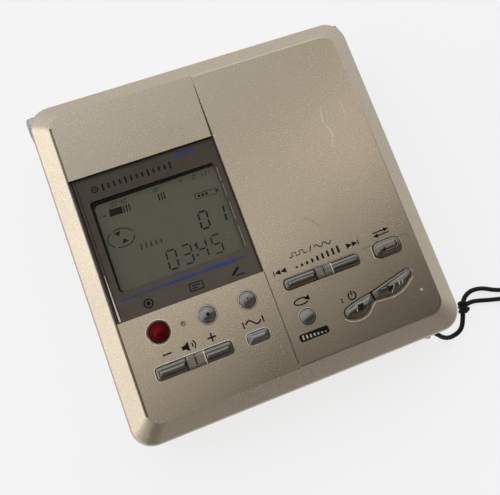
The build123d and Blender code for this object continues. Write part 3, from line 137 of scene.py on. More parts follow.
finishLooks = {
    "shell_paint": {
        "colour": (0.40, 0.340, 0.262), "tint": (0.50, 0.430, 0.335), "grain": 3200, "cloud": 45,
        "rough": (0.24, 0.30), "metal": 0.95, "bump": 0.03, "bumpStrength": 0.5, "detail": 2,
        "flake": 2100, "flakeSize": 0.22, "flakeShine": 0.65, "flakeColour": (0.95, 0.88, 0.76),
    },
    "bezel_smoke": {
        "colour": (0.046, 0.033, 0.018), "tint": (0.058, 0.043, 0.025), "grain": 500,
        "rough": (0.12, 0.22), "specular": 0.45, "bump": 0.004,
    },
    "display_glass": {
        "colour": (0.06, 0.06, 0.05), "grain": 300, "rough": (0.03, 0.09), "alpha": 0.06,
        "specular": 0.4, "bump": 0.001,
    },
    "display_panel": {
        "colour": (0.135, 0.126, 0.088), "tint": (0.150, 0.140, 0.098), "grain": 900, "cloud": 30,
        "rough": (0.45, 0.6), "specular": 0.25, "bump": 0.003,
    },
    "black_plastic": {
        "colour": (0.020, 0.020, 0.019), "tint": (0.032, 0.031, 0.030), "grain": 2500,
        "rough": (0.38, 0.52), "bump": 0.02,
    },
    "key_chrome": {
        "colour": (0.225, 0.215, 0.195), "tint": (0.285, 0.272, 0.250), "grain": 1500, "cloud": 500,
        "rough": (0.27, 0.36), "metal": 1.0, "bump": 0.008, "bumpStrength": 0.25,
    },
    "rec_red": {
        "colour": (0.100, 0.0005, 0.003), "tint": (0.140, 0.001, 0.004), "grain": 700,
        "rough": (0.25, 0.35), "specular": 0.06, "bump": 0.004,
    },
    "lamp_clear": {
        "colour": (0.52, 0.47, 0.38), "tint": (0.62, 0.56, 0.45), "grain": 900, "rough": (0.15, 0.25),
        "coat": 0.6,
    },
    "board_green": {
        "colour": (0.010, 0.075, 0.035), "tint": (0.016, 0.11, 0.05), "grain": 900, "cloud": 300,
        "rough": (0.30, 0.42), "coat": 0.4, "bump": 0.02, "stretch": (1, 4, 1),
    },
    "chip_black": {
        "colour": (0.012, 0.012, 0.013), "tint": (0.022, 0.022, 0.023), "grain": 3000,
        "rough": (0.45, 0.6), "bump": 0.02,
    },
    "dome_steel": {
        "colour": (0.55, 0.54, 0.50), "tint": (0.65, 0.64, 0.60), "grain": 1600, "rough": (0.2, 0.34),
        "metal": 1.0, "stretch": (1, 1, 6),
    },
    "steel_plate": {
        "colour": (0.42, 0.42, 0.41), "tint": (0.52, 0.52, 0.50), "grain": 1400, "cloud": 90,
        "rough": (0.28, 0.42), "metal": 1.0, "stretch": (0.08, 1, 1), "bump": 0.01,
    },
    "steel_shaft": {
        "colour": (0.50, 0.50, 0.50), "tint": (0.62, 0.62, 0.61), "grain": 2000,
        "rough": (0.16, 0.28), "metal": 1.0, "stretch": (0.1, 1, 1), "bump": 0.006,
    },
    "bright_chrome": {
        "colour": (0.27, 0.27, 0.26), "tint": (0.34, 0.34, 0.33), "grain": 900, "rough": (0.14, 0.22),
        "metal": 1.0, "bump": 0.003,
    },
    "foot_rubber": {
        "colour": (0.012, 0.012, 0.012), "tint": (0.024, 0.024, 0.023), "grain": 4000,
        "rough": (0.65, 0.8), "bump": 0.03, "sheen": 0.1,
    },
    "white_plastic": {
        "colour": (0.55, 0.54, 0.49), "tint": (0.62, 0.61, 0.56), "grain": 1800, "rough": (0.35, 0.48),
        "bump": 0.01,
    },
    "lens_blue": {
        "colour": (0.05, 0.06, 0.16), "tint": (0.08, 0.06, 0.20), "grain": 300, "rough": (0.03, 0.06),
        "coat": 1.0, "bump": 0.001,
    },
    "head_ferrite": {
        "colour": (0.020, 0.020, 0.022), "tint": (0.035, 0.035, 0.038), "grain": 2200,
        "rough": (0.3, 0.4),
    },
    "battery_wrap": {
        "colour": (0.022, 0.033, 0.066), "tint": (0.030, 0.043, 0.082), "grain": 700,
        "rough": (0.2, 0.32), "coat": 0.5,
    },
    "contact_gold": {
        "colour": (0.62, 0.40, 0.12), "tint": (0.72, 0.48, 0.16), "grain": 1500, "rough": (0.2, 0.3),
        "metal": 1.0,
    },
    "cord_black": {
        "colour": (0.003, 0.003, 0.0035), "tint": (0.011, 0.011, 0.012), "grain": 2600,
        "rough": (0.65, 0.8), "bump": 0.08, "bumpStrength": 0.8, "sheen": 0.05, "specular": 0.25,
    },
}
finishes = {name: makeFinish(name, look) for name, look in finishLooks.items()}
for row in frame["record"]["subparts"]:
    node = frame["nodes"][row["node"]]
    for place in node.material_slots:
        place.material = finishes[row["material_slot"]]
print("finishes on the frame's nodes:", len(finishes))

inks = {
    "inkBlack": makeFinish("inkBlack", {
        "colour": (0.005, 0.004, 0.004), "tint": (0.010, 0.009, 0.008), "grain": 3500,
        "rough": (0.6, 0.75), "specular": 0.12}),
    "inkBlue": makeFinish("inkBlue", {
        "colour": (0.036, 0.052, 0.180), "tint": (0.050, 0.072, 0.235), "grain": 3500,
        "rough": (0.6, 0.75), "specular": 0.12}),
    # pale: printed bars, and painted highlights on key signs and the window edge
    "paleInkAndHighlight": makeFinish("paleInkAndHighlight", {
        "colour": (0.46, 0.42, 0.35), "tint": (0.56, 0.52, 0.44), "grain": 3500, "rough": (0.4, 0.5)}),
    # dark: display figures, key signs and rocker strips, and painted shadow on the display panel's edge
    "darkInkAndShade": makeFinish("darkInkAndShade", {
        "colour": (0.008, 0.008, 0.006), "tint": (0.013, 0.012, 0.010), "grain": 900,
        "rough": (0.6, 0.7), "specular": 0.12}),
    "segmentFaint": makeFinish("segmentFaint", {
        "colour": (0.030, 0.029, 0.023), "tint": (0.040, 0.038, 0.030), "grain": 900,
        "rough": (0.6, 0.7), "specular": 0.12}),
    # pale champagne for painted highlights on edges, rims and corners
    "paintedHighlight": makeFinish("paintedHighlight", {
        "colour": (0.66, 0.60, 0.50), "tint": (0.78, 0.72, 0.61), "grain": 900, "rough": (0.24, 0.34),
        "metal": 0.35, "bump": 0.004}),
    "darkKey": makeFinish("darkKey", {
        "colour": (0.165, 0.152, 0.132), "tint": (0.215, 0.200, 0.175), "grain": 1500, "cloud": 500,
        "rough": (0.25, 0.34), "metal": 1.0, "bump": 0.008, "bumpStrength": 0.25}),
    "silverKey": makeFinish("silverKey", {
        "colour": (0.190, 0.186, 0.172), "tint": (0.245, 0.240, 0.224), "grain": 1500, "cloud": 500,
        "rough": (0.28, 0.36), "metal": 1.0, "bump": 0.008, "bumpStrength": 0.25}),
    "rockerPaint": makeFinish("rockerPaint", {
        "colour": (0.210, 0.190, 0.160), "tint": (0.270, 0.246, 0.208), "grain": 2600,
        "rough": (0.34, 0.44), "metal": 0.9, "bump": 0.01}),
    "latchPaint": makeFinish("latchPaint", {
        "colour": (0.105, 0.086, 0.060), "tint": (0.135, 0.112, 0.080), "grain": 2600,
        "rough": (0.42, 0.55), "metal": 0.3, "bump": 0.01}),
    # brown: painted shade in the lid's step and round the lamp pipe, and dark scratches
    "paintedShadeAndScratch": makeFinish("paintedShadeAndScratch", {
        "colour": (0.060, 0.047, 0.032), "tint": (0.085, 0.068, 0.048), "grain": 2600,
        "rough": (0.5, 0.6), "specular": 0.2}),
    "wornPaint": makeFinish("wornPaint", {
        "colour": (0.66, 0.60, 0.50), "tint": (0.80, 0.74, 0.62), "grain": 5200, "rough": (0.3, 0.5),
        "metal": 0.6}),
}


ownFinishes = {
    "open_latch": "latchPaint", "volume_rocker": "darkKey", "level_rocker": "darkKey",
    "enter_button": "darkKey", "stop_button": "darkKey", "play_button": "darkKey",
    "display_button": "silverKey", "edit_button": "silverKey", "mode_button": "silverKey",
    "bass_button": "silverKey",
}
for nodeName, inkName in ownFinishes.items():
    for place in frame["nodes"][nodeName].material_slots:
        place.material = inks[inkName]


# thin printed and raised shapes, gathered in one mesh for each place
def newPiece(name, shape, material, body):
    mesh = bpy.data.meshes.new(name)
    shape.to_mesh(mesh)
    shape.free()
    piece = bpy.data.objects.new(name, mesh)
    bpy.context.scene.collection.objects.link(piece)
    piece.data.materials.append(material)
    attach(piece, body)
    return piece


def addPatch(shape, corners, bottom, height):
    # flat patch of ink with the given outline, in millimetres
    verts = [shape.verts.new((x * mm, y * mm, bottom * mm)) for x, y in corners]
    face = shape.faces.new(verts)
    face.normal_update()
    if face.normal.z < 0:
        face.normal_flip()
    raised = bmesh.ops.extrude_face_region(shape, geom=[face])
    tops = [part for part in raised["geom"] if isinstance(part, bmesh.types.BMVert)]
    bmesh.ops.translate(shape, verts=tops, vec=(0, 0, height * mm))
    bmesh.ops.recalc_face_normals(shape, faces=shape.faces)


def addStroke(shape, start, end, width, bottom, height):
    along = Vector((end[0] - start[0], end[1] - start[1])).normalized()
    side = Vector((-along.y, along.x)) * width / 2
    a, b = Vector(start), Vector(end)
    corners = [tuple(a + side), tuple(a - side), tuple(b - side), tuple(b + side)]
    addPatch(shape, corners, bottom, height)


def arcPoints(centre, radii, spanFrom, spanTo, turn=0, steps=14):
    points = []
    for step in range(steps + 1):
        angle = math.radians(spanFrom + (spanTo - spanFrom) * step / steps)
        local = Vector((radii[0] * math.cos(angle), radii[1] * math.sin(angle)))
        local.rotate(Matrix.Rotation(math.radians(turn), 2))
        points.append(Vector(centre) + local)
    return points


def slotPoints(centre, size, corner, steps=6):
    # rounded rectangle
    points = []
    halfWidth, halfDepth = size[0] / 2 - corner, size[1] / 2 - corner
    for turn, (sx, sy) in zip((0, 90, 180, 270), ((1, 1), (-1, 1), (-1, -1), (1, -1))):
        middle = (centre[0] + sx * halfWidth, centre[1] + sy * halfDepth)
        points += arcPoints(middle, (corner, corner), turn, turn + 90, 0, steps)
    return points


def addLine(shape, points, width, bottom, height):
    # line of even width through the points, mitred at its bends
    points = [Vector(point) for point in points]
    left, right = [], []
    for index, point in enumerate(points):
        ahead = points[min(index + 1, len(points) - 1)] - point
        behind = point - points[max(index - 1, 0)]
        along = (ahead.normalized() + behind.normalized()).normalized()
        side = Vector((-along.y, along.x)) * width / 2
        left.append(point + side)
        right.append(point - side)
    for index in range(len(points) - 1):
        corners = [left[index], right[index], right[index + 1], left[index + 1]]
        addPatch(shape, corners, bottom, height)


def addDot(shape, centre, radius, bottom, height, steps=16):
    corners = arcPoints(centre, (radius, radius), 0, 360 - 360 / steps, 0, steps - 1)
    addPatch(shape, corners, bottom, height)


def addBlock(shape, centre, size, roundness, segments=3):
    # block with its upper long edges rounded
    made = bmesh.ops.create_cube(shape, size=1, matrix=(
        Matrix.Translation(Vector(centre) * mm) @ Matrix.Diagonal((*(Vector(size) * mm), 1))))
    top = (centre[2] + size[2] / 2) * mm
    edges = [
        edge for edge in {e for vert in made["verts"] for e in vert.link_edges}
        if all(abs(vert.co.z - top) < 1e-7 for vert in edge.verts)
        and abs(edge.verts[0].co.y - edge.verts[1].co.y) < 1e-7]
    if roundness:
        bmesh.ops.bevel(
            shape, geom=edges, offset=roundness * mm, affect="EDGES", segments=segments, profile=0.5,
            material=-1)


inkDepth = 0.02
lidTop = 20.0
leftTop = 19.7
bandTop = 19.7
bezelTop = 18.9
panelTop = 17.9

# the display's figures, on the liquid-crystal panel under the lens
segmentBars = {
    "top": ((0.12, 1), (0.88, 1)), "middle": ((0.14, 0.5), (0.86, 0.5)),
    "bottom": ((0.12, 0), (0.88, 0)),
    "upperLeft": ((0, 0.94), (0, 0.56)), "upperRight": ((1, 0.94), (1, 0.56)),
    "lowerLeft": ((0, 0.44), (0, 0.06)), "lowerRight": ((1, 0.44), (1, 0.06)),
}
digitBars = {
    "0": "top bottom upperLeft upperRight lowerLeft lowerRight",
    "1": "upperRight lowerRight",
    "2": "top middle bottom upperRight lowerLeft",
    "3": "top middle bottom upperRight lowerRight",
    "4": "middle upperLeft upperRight lowerRight",
    "5": "top middle bottom upperLeft lowerRight",
}


def addDigits(shape, text, corner, size, pitch, width, slant, bottom):
    # digits of seven bars, the lower left corner of the first one at corner
    for index, sign in enumerate(text):
        for bar in digitBars.get(sign, "").split():
            ends = []
            for across, up in segmentBars[bar]:
                x = corner[0] + index * pitch + across * size[0] + slant * up * size[1]
                ends.append((x, corner[1] + up * size[1]))
            addStroke(shape, *ends, width, bottom, inkDepth)


display = {
    "trackDigits": {
        "text": "01", "corner": (-10.50, 0.78), "size": (1.95, 3.95), "pitch": 4.05, "width": 0.42},
    "timeDigits": {
        "text": "0345", "corner": (-20.3, -5.6), "size": (2.1, 4.3), "pitch": 3.55, "width": 0.34},
    "smallSize": (0.62, 0.85),
    "smallWidth": 0.17,
    "slant": 0.08,
    "levelBlock": [(-28.86, 12.03), (-25.85, 11.92), (-25.98, 10.28), (-29.0, 10.37)],
    "ticks": [
        (-25.5, 11.89), (-24.84, 11.9), (-24.2, 11.93), (-17.2, 11.95), (-16.52, 11.97), (-15.9, 11.95)],
    "tickHeight": 1.6,
}
shape = bmesh.new()
for name in ("trackDigits", "timeDigits"):
    row = display[name]
    addDigits(
        shape, row["text"], row["corner"], row["size"], row["pitch"], row["width"], display["slant"],
        panelTop)
for x, y in ((-13.25, -2.1), (-13.42, -4.4)):  # colon of the time
    addDot(shape, (x, y), 0.26, panelTop, inkDepth, 8)
addPatch(shape, display["levelBlock"], panelTop, inkDepth)
for x, y in display["ticks"]:
    addStroke(shape, (x, y), (x - 0.15, y - display["tickHeight"]), 0.28, panelTop, inkDepth)
# battery with three bars, and the disc sign with its two arrowheads
batteryCorners = [(-9.42, 9.1), (-4.5, 8.98), (-4.45, 7.72), (-9.42, 7.84), (-9.42, 9.1)]
addLine(shape, batteryCorners, 0.17, panelTop, inkDepth)
addPatch(shape, [(-4.42, 8.68), (-4.0, 8.62), (-4.02, 8.1), (-4.44, 8.08)], panelTop, inkDepth)
for x in (-8.55, -7.65, -6.75):
    addStroke(shape, (x - 0.3, 8.45), (x + 0.3, 8.43), 0.55, panelTop, inkDepth)
discSign = {"centre": (-28.2, 5.05), "radii": (3.0, 2.12), "spans": ((20, 118), (132, 232), (246, 352))}
for spanFrom, spanTo in discSign["spans"]:
    addLine(
        shape, arcPoints(discSign["centre"], discSign["radii"], spanFrom, spanTo, -3, 12), 0.2,
        panelTop, inkDepth)
addPatch(shape, [(-29.5, 6.5), (-27.95, 6.68), (-28.55, 5.5)], panelTop, inkDepth)
addPatch(shape, [(-28.3, 3.72), (-26.75, 3.88), (-27.75, 4.78)], panelTop, inkDepth)
displaySegments = newPiece("displaySegments", shape, inks["darkInkAndShade"], "lid")

shape = bmesh.new()  # smaller and fainter signs
smallRows = (
    ("00", (-28.3, 12.55)), ("40", (-26.1, 12.5)), ("12", (-18.75, 12.55)), ("4", (-11.75, 12.7)),
    ("0", (-8.6, 12.6)),
)
for text, corner in smallRows:
    addDigits(
        shape, text, corner, display["smallSize"], 0.95, display["smallWidth"], display["slant"], panelTop)
for x in (-19.35, -16.9):
    addDot(shape, (x, 13.0), 0.12, panelTop, inkDepth, 8)
addPatch(shape, [(-30.6, 11.0), (-29.9, 11.35), (-29.9, 10.65)], panelTop, inkDepth)
addStroke(shape, (-31.3, 11.0), (-30.9, 11.0), 0.2, panelTop, inkDepth)
for step in range(5):  # note list beside the disc sign
    addStroke(
        shape, (-24.6 + 1.15 * step, 2.35 - 0.1 * step), (-24.75 + 1.15 * step, 0.95), 0.3, panelTop,
        inkDepth)
for step in range(3):
    x = -6.2 + 0.85 * step
    addStroke(shape, (x, 13.35), (x - 0.05, 12.6), 0.2, panelTop, inkDepth)
smallSegments = newPiece("smallSegments", shape, inks["segmentFaint"], "lid")

# painted shadow: the dark band that the frame throws on the panel's upper and left edge
windowShade = {
    "left": -32.35, "right": -3.0, "front": -6.8, "rear": 14.8, "rearBand": 0.95, "leftBand": 0.62}
shape = bmesh.new()
w = windowShade
addPatch(
    shape, [(w["left"], w["rear"]), (w["right"], w["rear"]), (w["right"] - 0.2, w["rear"] - 0.62),
            (w["left"] + 1.4, w["rear"] - w["rearBand"]), (w["left"] + w["leftBand"], w["rear"] - 1.7),
            (w["left"], w["rear"] - 1.9)], panelTop, inkDepth)
addPatch(
    shape, [(w["left"], w["rear"] - 1.9), (w["left"] + w["leftBand"], w["rear"] - 1.7),
            (w["left"] + 0.42, w["front"] + 1.0), (w["left"] + 0.8, w["front"]), (w["left"], w["front"])],
    panelTop, inkDepth)
displayShade = newPiece("displayShade", shape, inks["darkInkAndShade"], "lid")
print("display figures made")

# print on the bezel and the lid
bezelPrint = {"lineY": -8.43, "lineLeft": -32.6, "lineRight": -3.3, "width": 0.3}
shape = bmesh.new()
b = bezelPrint
addStroke(
    shape, (b["lineLeft"], b["lineY"]), (b["lineRight"], b["lineY"]), b["width"], bezelTop, inkDepth)
for start, end, width in ((-22.2, -14.6, 0.62), (-13.3, -5.6, 0.78)):  # thicker lengths of the line
    addStroke(shape, (start, b["lineY"]), (end, b["lineY"]), width, bezelTop, inkDepth * 1.4)
for step in range(3):  # three slanting bars at the rear right
    x = -10.9 + 1.75 * step
    addPatch(
        shape, [(x, 18.3), (x + 1.15, 18.3), (x + 1.45, 19.5), (x + 0.3, 19.5)], bezelTop, inkDepth)
bezelBlue = newPiece("bezelBlue", shape, inks["inkBlue"], "lid")

shape = bmesh.new()
# record: a dot in a ring
addLine(shape, arcPoints((-27.2, -11.0), (0.95, 0.95), 0, 360, 0, 26), 0.3, bezelTop, inkDepth)
addDot(shape, (-27.2, -11.0), 0.48, bezelTop, inkDepth, 18)
# display: a screen with two lines in it
screenCorners = [(-17.6, -11.85), (-14.6, -11.85), (-14.6, -10.15), (-17.6, -10.15), (-17.6, -11.85)]
addLine(shape, screenCorners, 0.3, bezelTop, inkDepth)
addStroke(shape, (-17.1, -10.72), (-15.1, -10.72), 0.26, bezelTop, inkDepth)
addStroke(shape, (-17.1, -11.3), (-15.9, -11.3), 0.26, bezelTop, inkDepth)
# edit: a pencil over a line
addStroke(shape, (-7.4, -11.35), (-5.9, -10.15), 0.55, bezelTop, inkDepth)
addPatch(shape, [(-7.5, -11.03), (-7.13, -11.48), (-8.05, -11.78)], bezelTop, inkDepth)
addStroke(shape, (-7.0, -11.85), (-5.0, -11.85), 0.28, bezelTop, inkDepth)
# rule with a disc sign along the rear edge
addLine(shape, arcPoints((-30.2, 17.2), (0.66, 0.66), 0, 360, 0, 22), 0.26, bezelTop, inkDepth)
addDot(shape, (-30.2, 17.2), 0.22, bezelTop, inkDepth, 10)
for step in range(13):  # a scale of short bars
    x = -28.3 + 1.32 * step
    reach = 0.85 if step % 4 == 0 else 0.6
    addStroke(shape, (x, 17.2 - reach), (x, 17.2 + reach), 0.4, bezelTop, inkDepth)
bezelInk = newPiece("bezelInk", shape, inks["inkBlack"], "lid")

# signs on the right half of the lid
lidSymbols = {
    "skipBack": (2.3, -14.55), "skipOn": (20.5, -14.25), "fadeBar": ((1.2, 8.2), (-29.15, -30.85)),
    "loop": (4.6, -22.3), "power": (15.9, -25.1), "sync": (27.7, -14.0),
}
shape = bmesh.new()
x, y = lidSymbols["skipBack"]
addStroke(shape, (x - 1.35, y - 0.62), (x - 1.35, y + 0.62), 0.22, lidTop, inkDepth)
addPatch(shape, [(x - 1.2, y), (x + 0.2, y - 0.62), (x + 0.2, y + 0.62)], lidTop, inkDepth)
addPatch(shape, [(x + 0.2, y), (x + 1.6, y - 0.62), (x + 1.6, y + 0.62)], lidTop, inkDepth)
x, y = lidSymbols["skipOn"]
addStroke(shape, (x + 1.35, y - 0.62), (x + 1.35, y + 0.62), 0.22, lidTop, inkDepth)
addPatch(shape, [(x + 1.2, y), (x - 0.2, y + 0.62), (x - 0.2, y - 0.62)], lidTop, inkDepth)
addPatch(shape, [(x - 0.2, y), (x - 1.6, y + 0.62), (x - 1.6, y - 0.62)], lidTop, inkDepth)
# level: a rising wedge of bars between the skip signs
for step in range(9):
    x = 6.4 + 1.3 * step
    addStroke(shape, (x, -15.05), (x, -14.6 + 0.16 * step), 0.5, lidTop, inkDepth)
# a stepped wave, a slash and a round wave
steppedWave = [(5.6, -12.35), (6.4, -12.35), (6.4, -11.5), (7.3, -11.5), (7.3, -12.35), (8.2, -12.35),
               (8.2, -11.5), (9.1, -11.5), (9.1, -12.35), (9.9, -12.35)]
addLine(shape, steppedWave, 0.24, lidTop, inkDepth)
addStroke(shape, (10.55, -12.6), (11.15, -11.25), 0.22, lidTop, inkDepth)
roundWave = [(11.8 + 0.2 * step, -11.93 + 0.42 * math.sin(step * math.pi / 5)) for step in range(22)]
addLine(shape, roundWave, 0.24, lidTop, inkDepth)
(x0, x1), (y1, y0) = lidSymbols["fadeBar"]
cut = 0.35
addPatch(shape, [
    (x0 + cut, y0), (x1 - cut, y0), (x1, y0 + cut), (x1, y1 - cut), (x1 - cut, y1), (x0 + cut, y1),
    (x0, y1 - cut), (x0, y0 + cut)], lidTop, inkDepth)
# loop over the mode key
x, y = lidSymbols["loop"]
addLine(shape, arcPoints((x, y), (1.7, 0.72), 35, 325, 0, 22), 0.32, lidTop, inkDepth)
addPatch(shape, [(x + 0.75, y + 0.2), (x + 2.0, y + 1.0), (x + 2.0, y - 0.3)], lidTop, inkDepth)
# two dots and the power sign over the stop key
for dotY in (-25.15, -25.75):
    addDot(shape, (13.3, dotY), 0.21, lidTop, inkDepth, 10)
x, y = lidSymbols["power"]
addLine(shape, arcPoints((x, y), (0.88, 0.88), 122, 418, 0, 22), 0.32, lidTop, inkDepth)
addStroke(shape, (x, y + 0.1), (x, y + 1.15), 0.32, lidTop, inkDepth)
# two opposite arrows over the enter key
x, y = lidSymbols["sync"]
for side in (1, -1):
    tail, tip = (x - 1.9 * side, y + 0.4 * side), (x + 1.0 * side, y + 0.4 * side)
    addStroke(shape, tail, tip, 0.3, lidTop, inkDepth)
    addPatch(
        shape, [(x + 0.9 * side, y + 0.95 * side), (x + 2.1 * side, y + 0.4 * side),
                (x + 0.9 * side, y - 0.1 * side)], lidTop, inkDepth)
lidInk = newPiece("lidInk", shape, inks["inkBlack"], "lid")

shape = bmesh.new()  # pale falling bars in the black bar
for step in range(7):
    x = 2.1 + 0.87 * step
    addStroke(shape, (x, -30.45), (x, -29.45 - 0.13 * step), 0.36, lidTop + inkDepth, inkDepth / 2)
fadeBars = newPiece("fadeBars", shape, inks["paleInkAndHighlight"], "lid")

# volume and bass signs on the left half
shape = bmesh.new()
addStroke(shape, (-28.0, -22.75), (-25.9, -22.75), 0.34, leftTop, inkDepth)
addStroke(shape, (-17.75, -22.75), (-15.75, -22.75), 0.36, leftTop, inkDepth)
addStroke(shape, (-16.75, -23.75), (-16.75, -21.75), 0.36, leftTop, inkDepth)
speaker = [
    (-23.6, -23.25), (-23.6, -22.35), (-22.9, -22.35), (-22.0, -21.7), (-22.0, -23.9), (-22.9, -23.25)]
addPatch(shape, speaker, leftTop, inkDepth)
for radius in (0.6, 1.2):
    addLine(
        shape, arcPoints((-21.75, -22.8), (radius, radius), -48, 48, 0, 8), 0.28, leftTop, inkDepth)
lowWave = [(-8.9 + 0.19 * step, -22.85 + 0.6 * math.sin(step * math.pi / 9.5)) for step in range(20)]
addLine(shape, lowWave, 0.34, leftTop, inkDepth)
for x in (-9.4, -4.8):
    addStroke(shape, (x, -23.6), (x, -22.1), 0.32, leftTop, inkDepth)
leftInk = newPiece("leftInk", shape, inks["inkBlack"], "lid")
print("printed signs made")

# crowned tops of the keys, over the flat tops of the solids
def topOutline(nodeName):
    # corners round the flat top of a key, in millimetres, and its height
    node = frame["nodes"][nodeName]
    solid = bmesh.new()
    solid.from_mesh(node.data)
    bmesh.ops.transform(solid, matrix=node.matrix_world, verts=solid.verts)
    bmesh.ops.remove_doubles(solid, verts=solid.verts, dist=1e-7)
    top = max(vert.co.z for vert in solid.verts)
    flat = {face for face in solid.faces if all(abs(vert.co.z - top) < 1e-6 for vert in face.verts)}
    rim = {
        edge for face in flat for edge in face.edges
        if sum(1 for side in edge.link_faces if side in flat) == 1}
    vert = next(iter(rim)).verts[0]
    points = []
    while rim:
        edge = next(edge for edge in vert.link_edges if edge in rim)
        rim.discard(edge)
        points.append((vert.co.x / mm, vert.co.y / mm))
        vert = edge.other_vert(vert)
    solid.free()
    return points, top / mm


crownProfile = (  # share of the way in, share of the way up
    (0.05, 0.13), (0.11, 0.26), (0.19, 0.42), (0.29, 0.58), (0.41, 0.73), (0.55, 0.86), (0.72, 0.95),
    (0.88, 1.0))


def addDome(shape, outline, bottom, height):
    # crown over an outline: each ring stands inside the one below it
    xs, ys = [x for x, y in outline], [y for x, y in outline]
    centre = Vector(((min(xs) + max(xs)) / 2, (min(ys) + max(ys)) / 2, 0)) * mm
    half = ((max(xs) - min(xs)) / 2, (max(ys) - min(ys)) / 2)
    verts = [shape.verts.new((x * mm, y * mm, bottom * mm)) for x, y in outline]
    face = shape.faces.new(verts)
    face.normal_update()
    if face.normal.z < 0:
        face.normal_flip()
    inset, level = 0, 0
    for inward, upward in crownProfile:
        nextInset, nextLevel = inward * min(half), upward * height
        raised = bmesh.ops.extrude_face_region(shape, geom=[face])
        tops = [part for part in raised["geom"] if isinstance(part, bmesh.types.BMVert)]
        face = next(part for part in raised["geom"] if isinstance(part, bmesh.types.BMFace))
        ratio = [(size - nextInset) / (size - inset) for size in half]
        bmesh.ops.scale(
            shape, verts=tops, vec=(ratio[0], ratio[1], 1), space=Matrix.Translation(-centre))
        bmesh.ops.translate(shape, verts=tops, vec=(0, 0, (nextLevel - level) * mm))
        inset, level = nextInset, nextLevel
    for face in shape.faces:
        face.smooth = True


def drape(shape, under, bottom):
    # lowers or lifts a flat mark on to the crown under it
    for vert in shape.verts:
        hit = under.ray_cast(Vector((vert.co.x, vert.co.y, 1)), Vector((0, 0, -1)))[0]
        if hit:
            vert.co.z += hit.z - bottom * mm


crowns = {
    "rec_button": (0.50, finishes["rec_red"]), "display_button": (0.20, inks["silverKey"]),
    "edit_button": (0.20, inks["silverKey"]), "mode_button": (0.18, inks["silverKey"]),
    "bass_button": (0.22, inks["silverKey"]), "enter_button": (0.22, inks["darkKey"]),
    "stop_button": (0.30, inks["darkKey"]), "play_button": (0.30, inks["darkKey"]),
}
crownTrees, crownTops, keyOutlines = {}, {}, {}
for body, (height, finish) in crowns.items():
    outline, top = topOutline(body)
    shape = bmesh.new()
    addDome(shape, outline, top - 0.005, height)
    crownTrees[body] = BVHTree.FromBMesh(shape)
    crownTops[body] = top
    keyOutlines[body] = outline
    newPiece(body.split("_")[0] + "Crown", shape, finish, body)

# marks on the keys, riding on them
markDepth = 0.035
leafMarkDepth = 0.10


def addMark(name, shape, material, body):
    drape(shape, crownTrees[body], crownTops[body])
    return newPiece(name, shape, inks[material], body)


shape = bmesh.new()
addDot(shape, (-15.85, -17.75), 0.42, crownTops["display_button"], markDepth, 18)
addMark("displayDimple", shape, "darkInkAndShade", "display_button")
shape = bmesh.new()
addDot(shape, (-6.5, -17.55), 0.2, crownTops["edit_button"], markDepth, 12)
addMark("editDimple", shape, "darkInkAndShade", "edit_button")

top = crownTops["stop_button"]
shape = bmesh.new()
addPatch(shape, [(15.85, -28.85), (17.25, -28.7), (17.4, -27.4), (16.0, -27.5)], top, leafMarkDepth)
addMark("stopSquare", shape, "darkInkAndShade", "stop_button")
# pale line along the square's rear and left edges: painted highlight on the sign's edge
shape = bmesh.new()
addLine(shape, [(17.2, -27.15), (15.7, -27.25), (15.5, -28.85)], 0.15, top, leafMarkDepth)
addMark("stopEdgeHighlight", shape, "paleInkAndHighlight", "stop_button")
top = crownTops["play_button"]
shape = bmesh.new()
addPatch(shape, [(23.65, -25.75), (25.25, -26.35), (24.25, -27.4)], top, leafMarkDepth)
addMark("playMark", shape, "darkInkAndShade", "play_button")
# pale line along the triangle's right edge, a painted highlight, and the two pale bars of the pause sign
shape = bmesh.new()
addLine(shape, [(25.45, -25.95), (25.7, -26.35), (24.55, -27.75)], 0.15, top, leafMarkDepth)
for x in (27.05, 27.85):
    addStroke(shape, (x, -25.6), (x - 0.1, -26.55), 0.28, top, leafMarkDepth)
addMark("playHighlightAndPause", shape, "paleInkAndHighlight", "play_button")

# enter sign: a bent arrow, dark, with a painted highlight along its lower edge
enterSign = {"right": 29.9, "rear": -16.75, "shaft": -18.05, "tail": 26.9, "tip": 25.9, "reach": 0.65}
for name, material, shift in (("enterHighlight", "paleInkAndHighlight", -0.09), ("enterMark", "darkInkAndShade", 0.0)):
    e = enterSign
    top = crownTops["enter_button"]
    depth = markDepth + (0.02 if name == "enterMark" else 0)
    shape = bmesh.new()
    bend = [(e["right"], e["rear"]), (e["right"], e["shaft"]), (e["tail"], e["shaft"])]
    addLine(shape, [(x - shift, y + shift) for x, y in bend], 0.3, top, depth)
    head = [
        (e["tail"] + 0.3, e["shaft"] + e["reach"]), (e["tail"] + 0.3, e["shaft"] - e["reach"]),
        (e["tip"], e["shaft"])]
    addPatch(shape, [(x - shift, y + shift) for x, y in head], top, depth)
    addMark(name, shape, material, "enter_button")
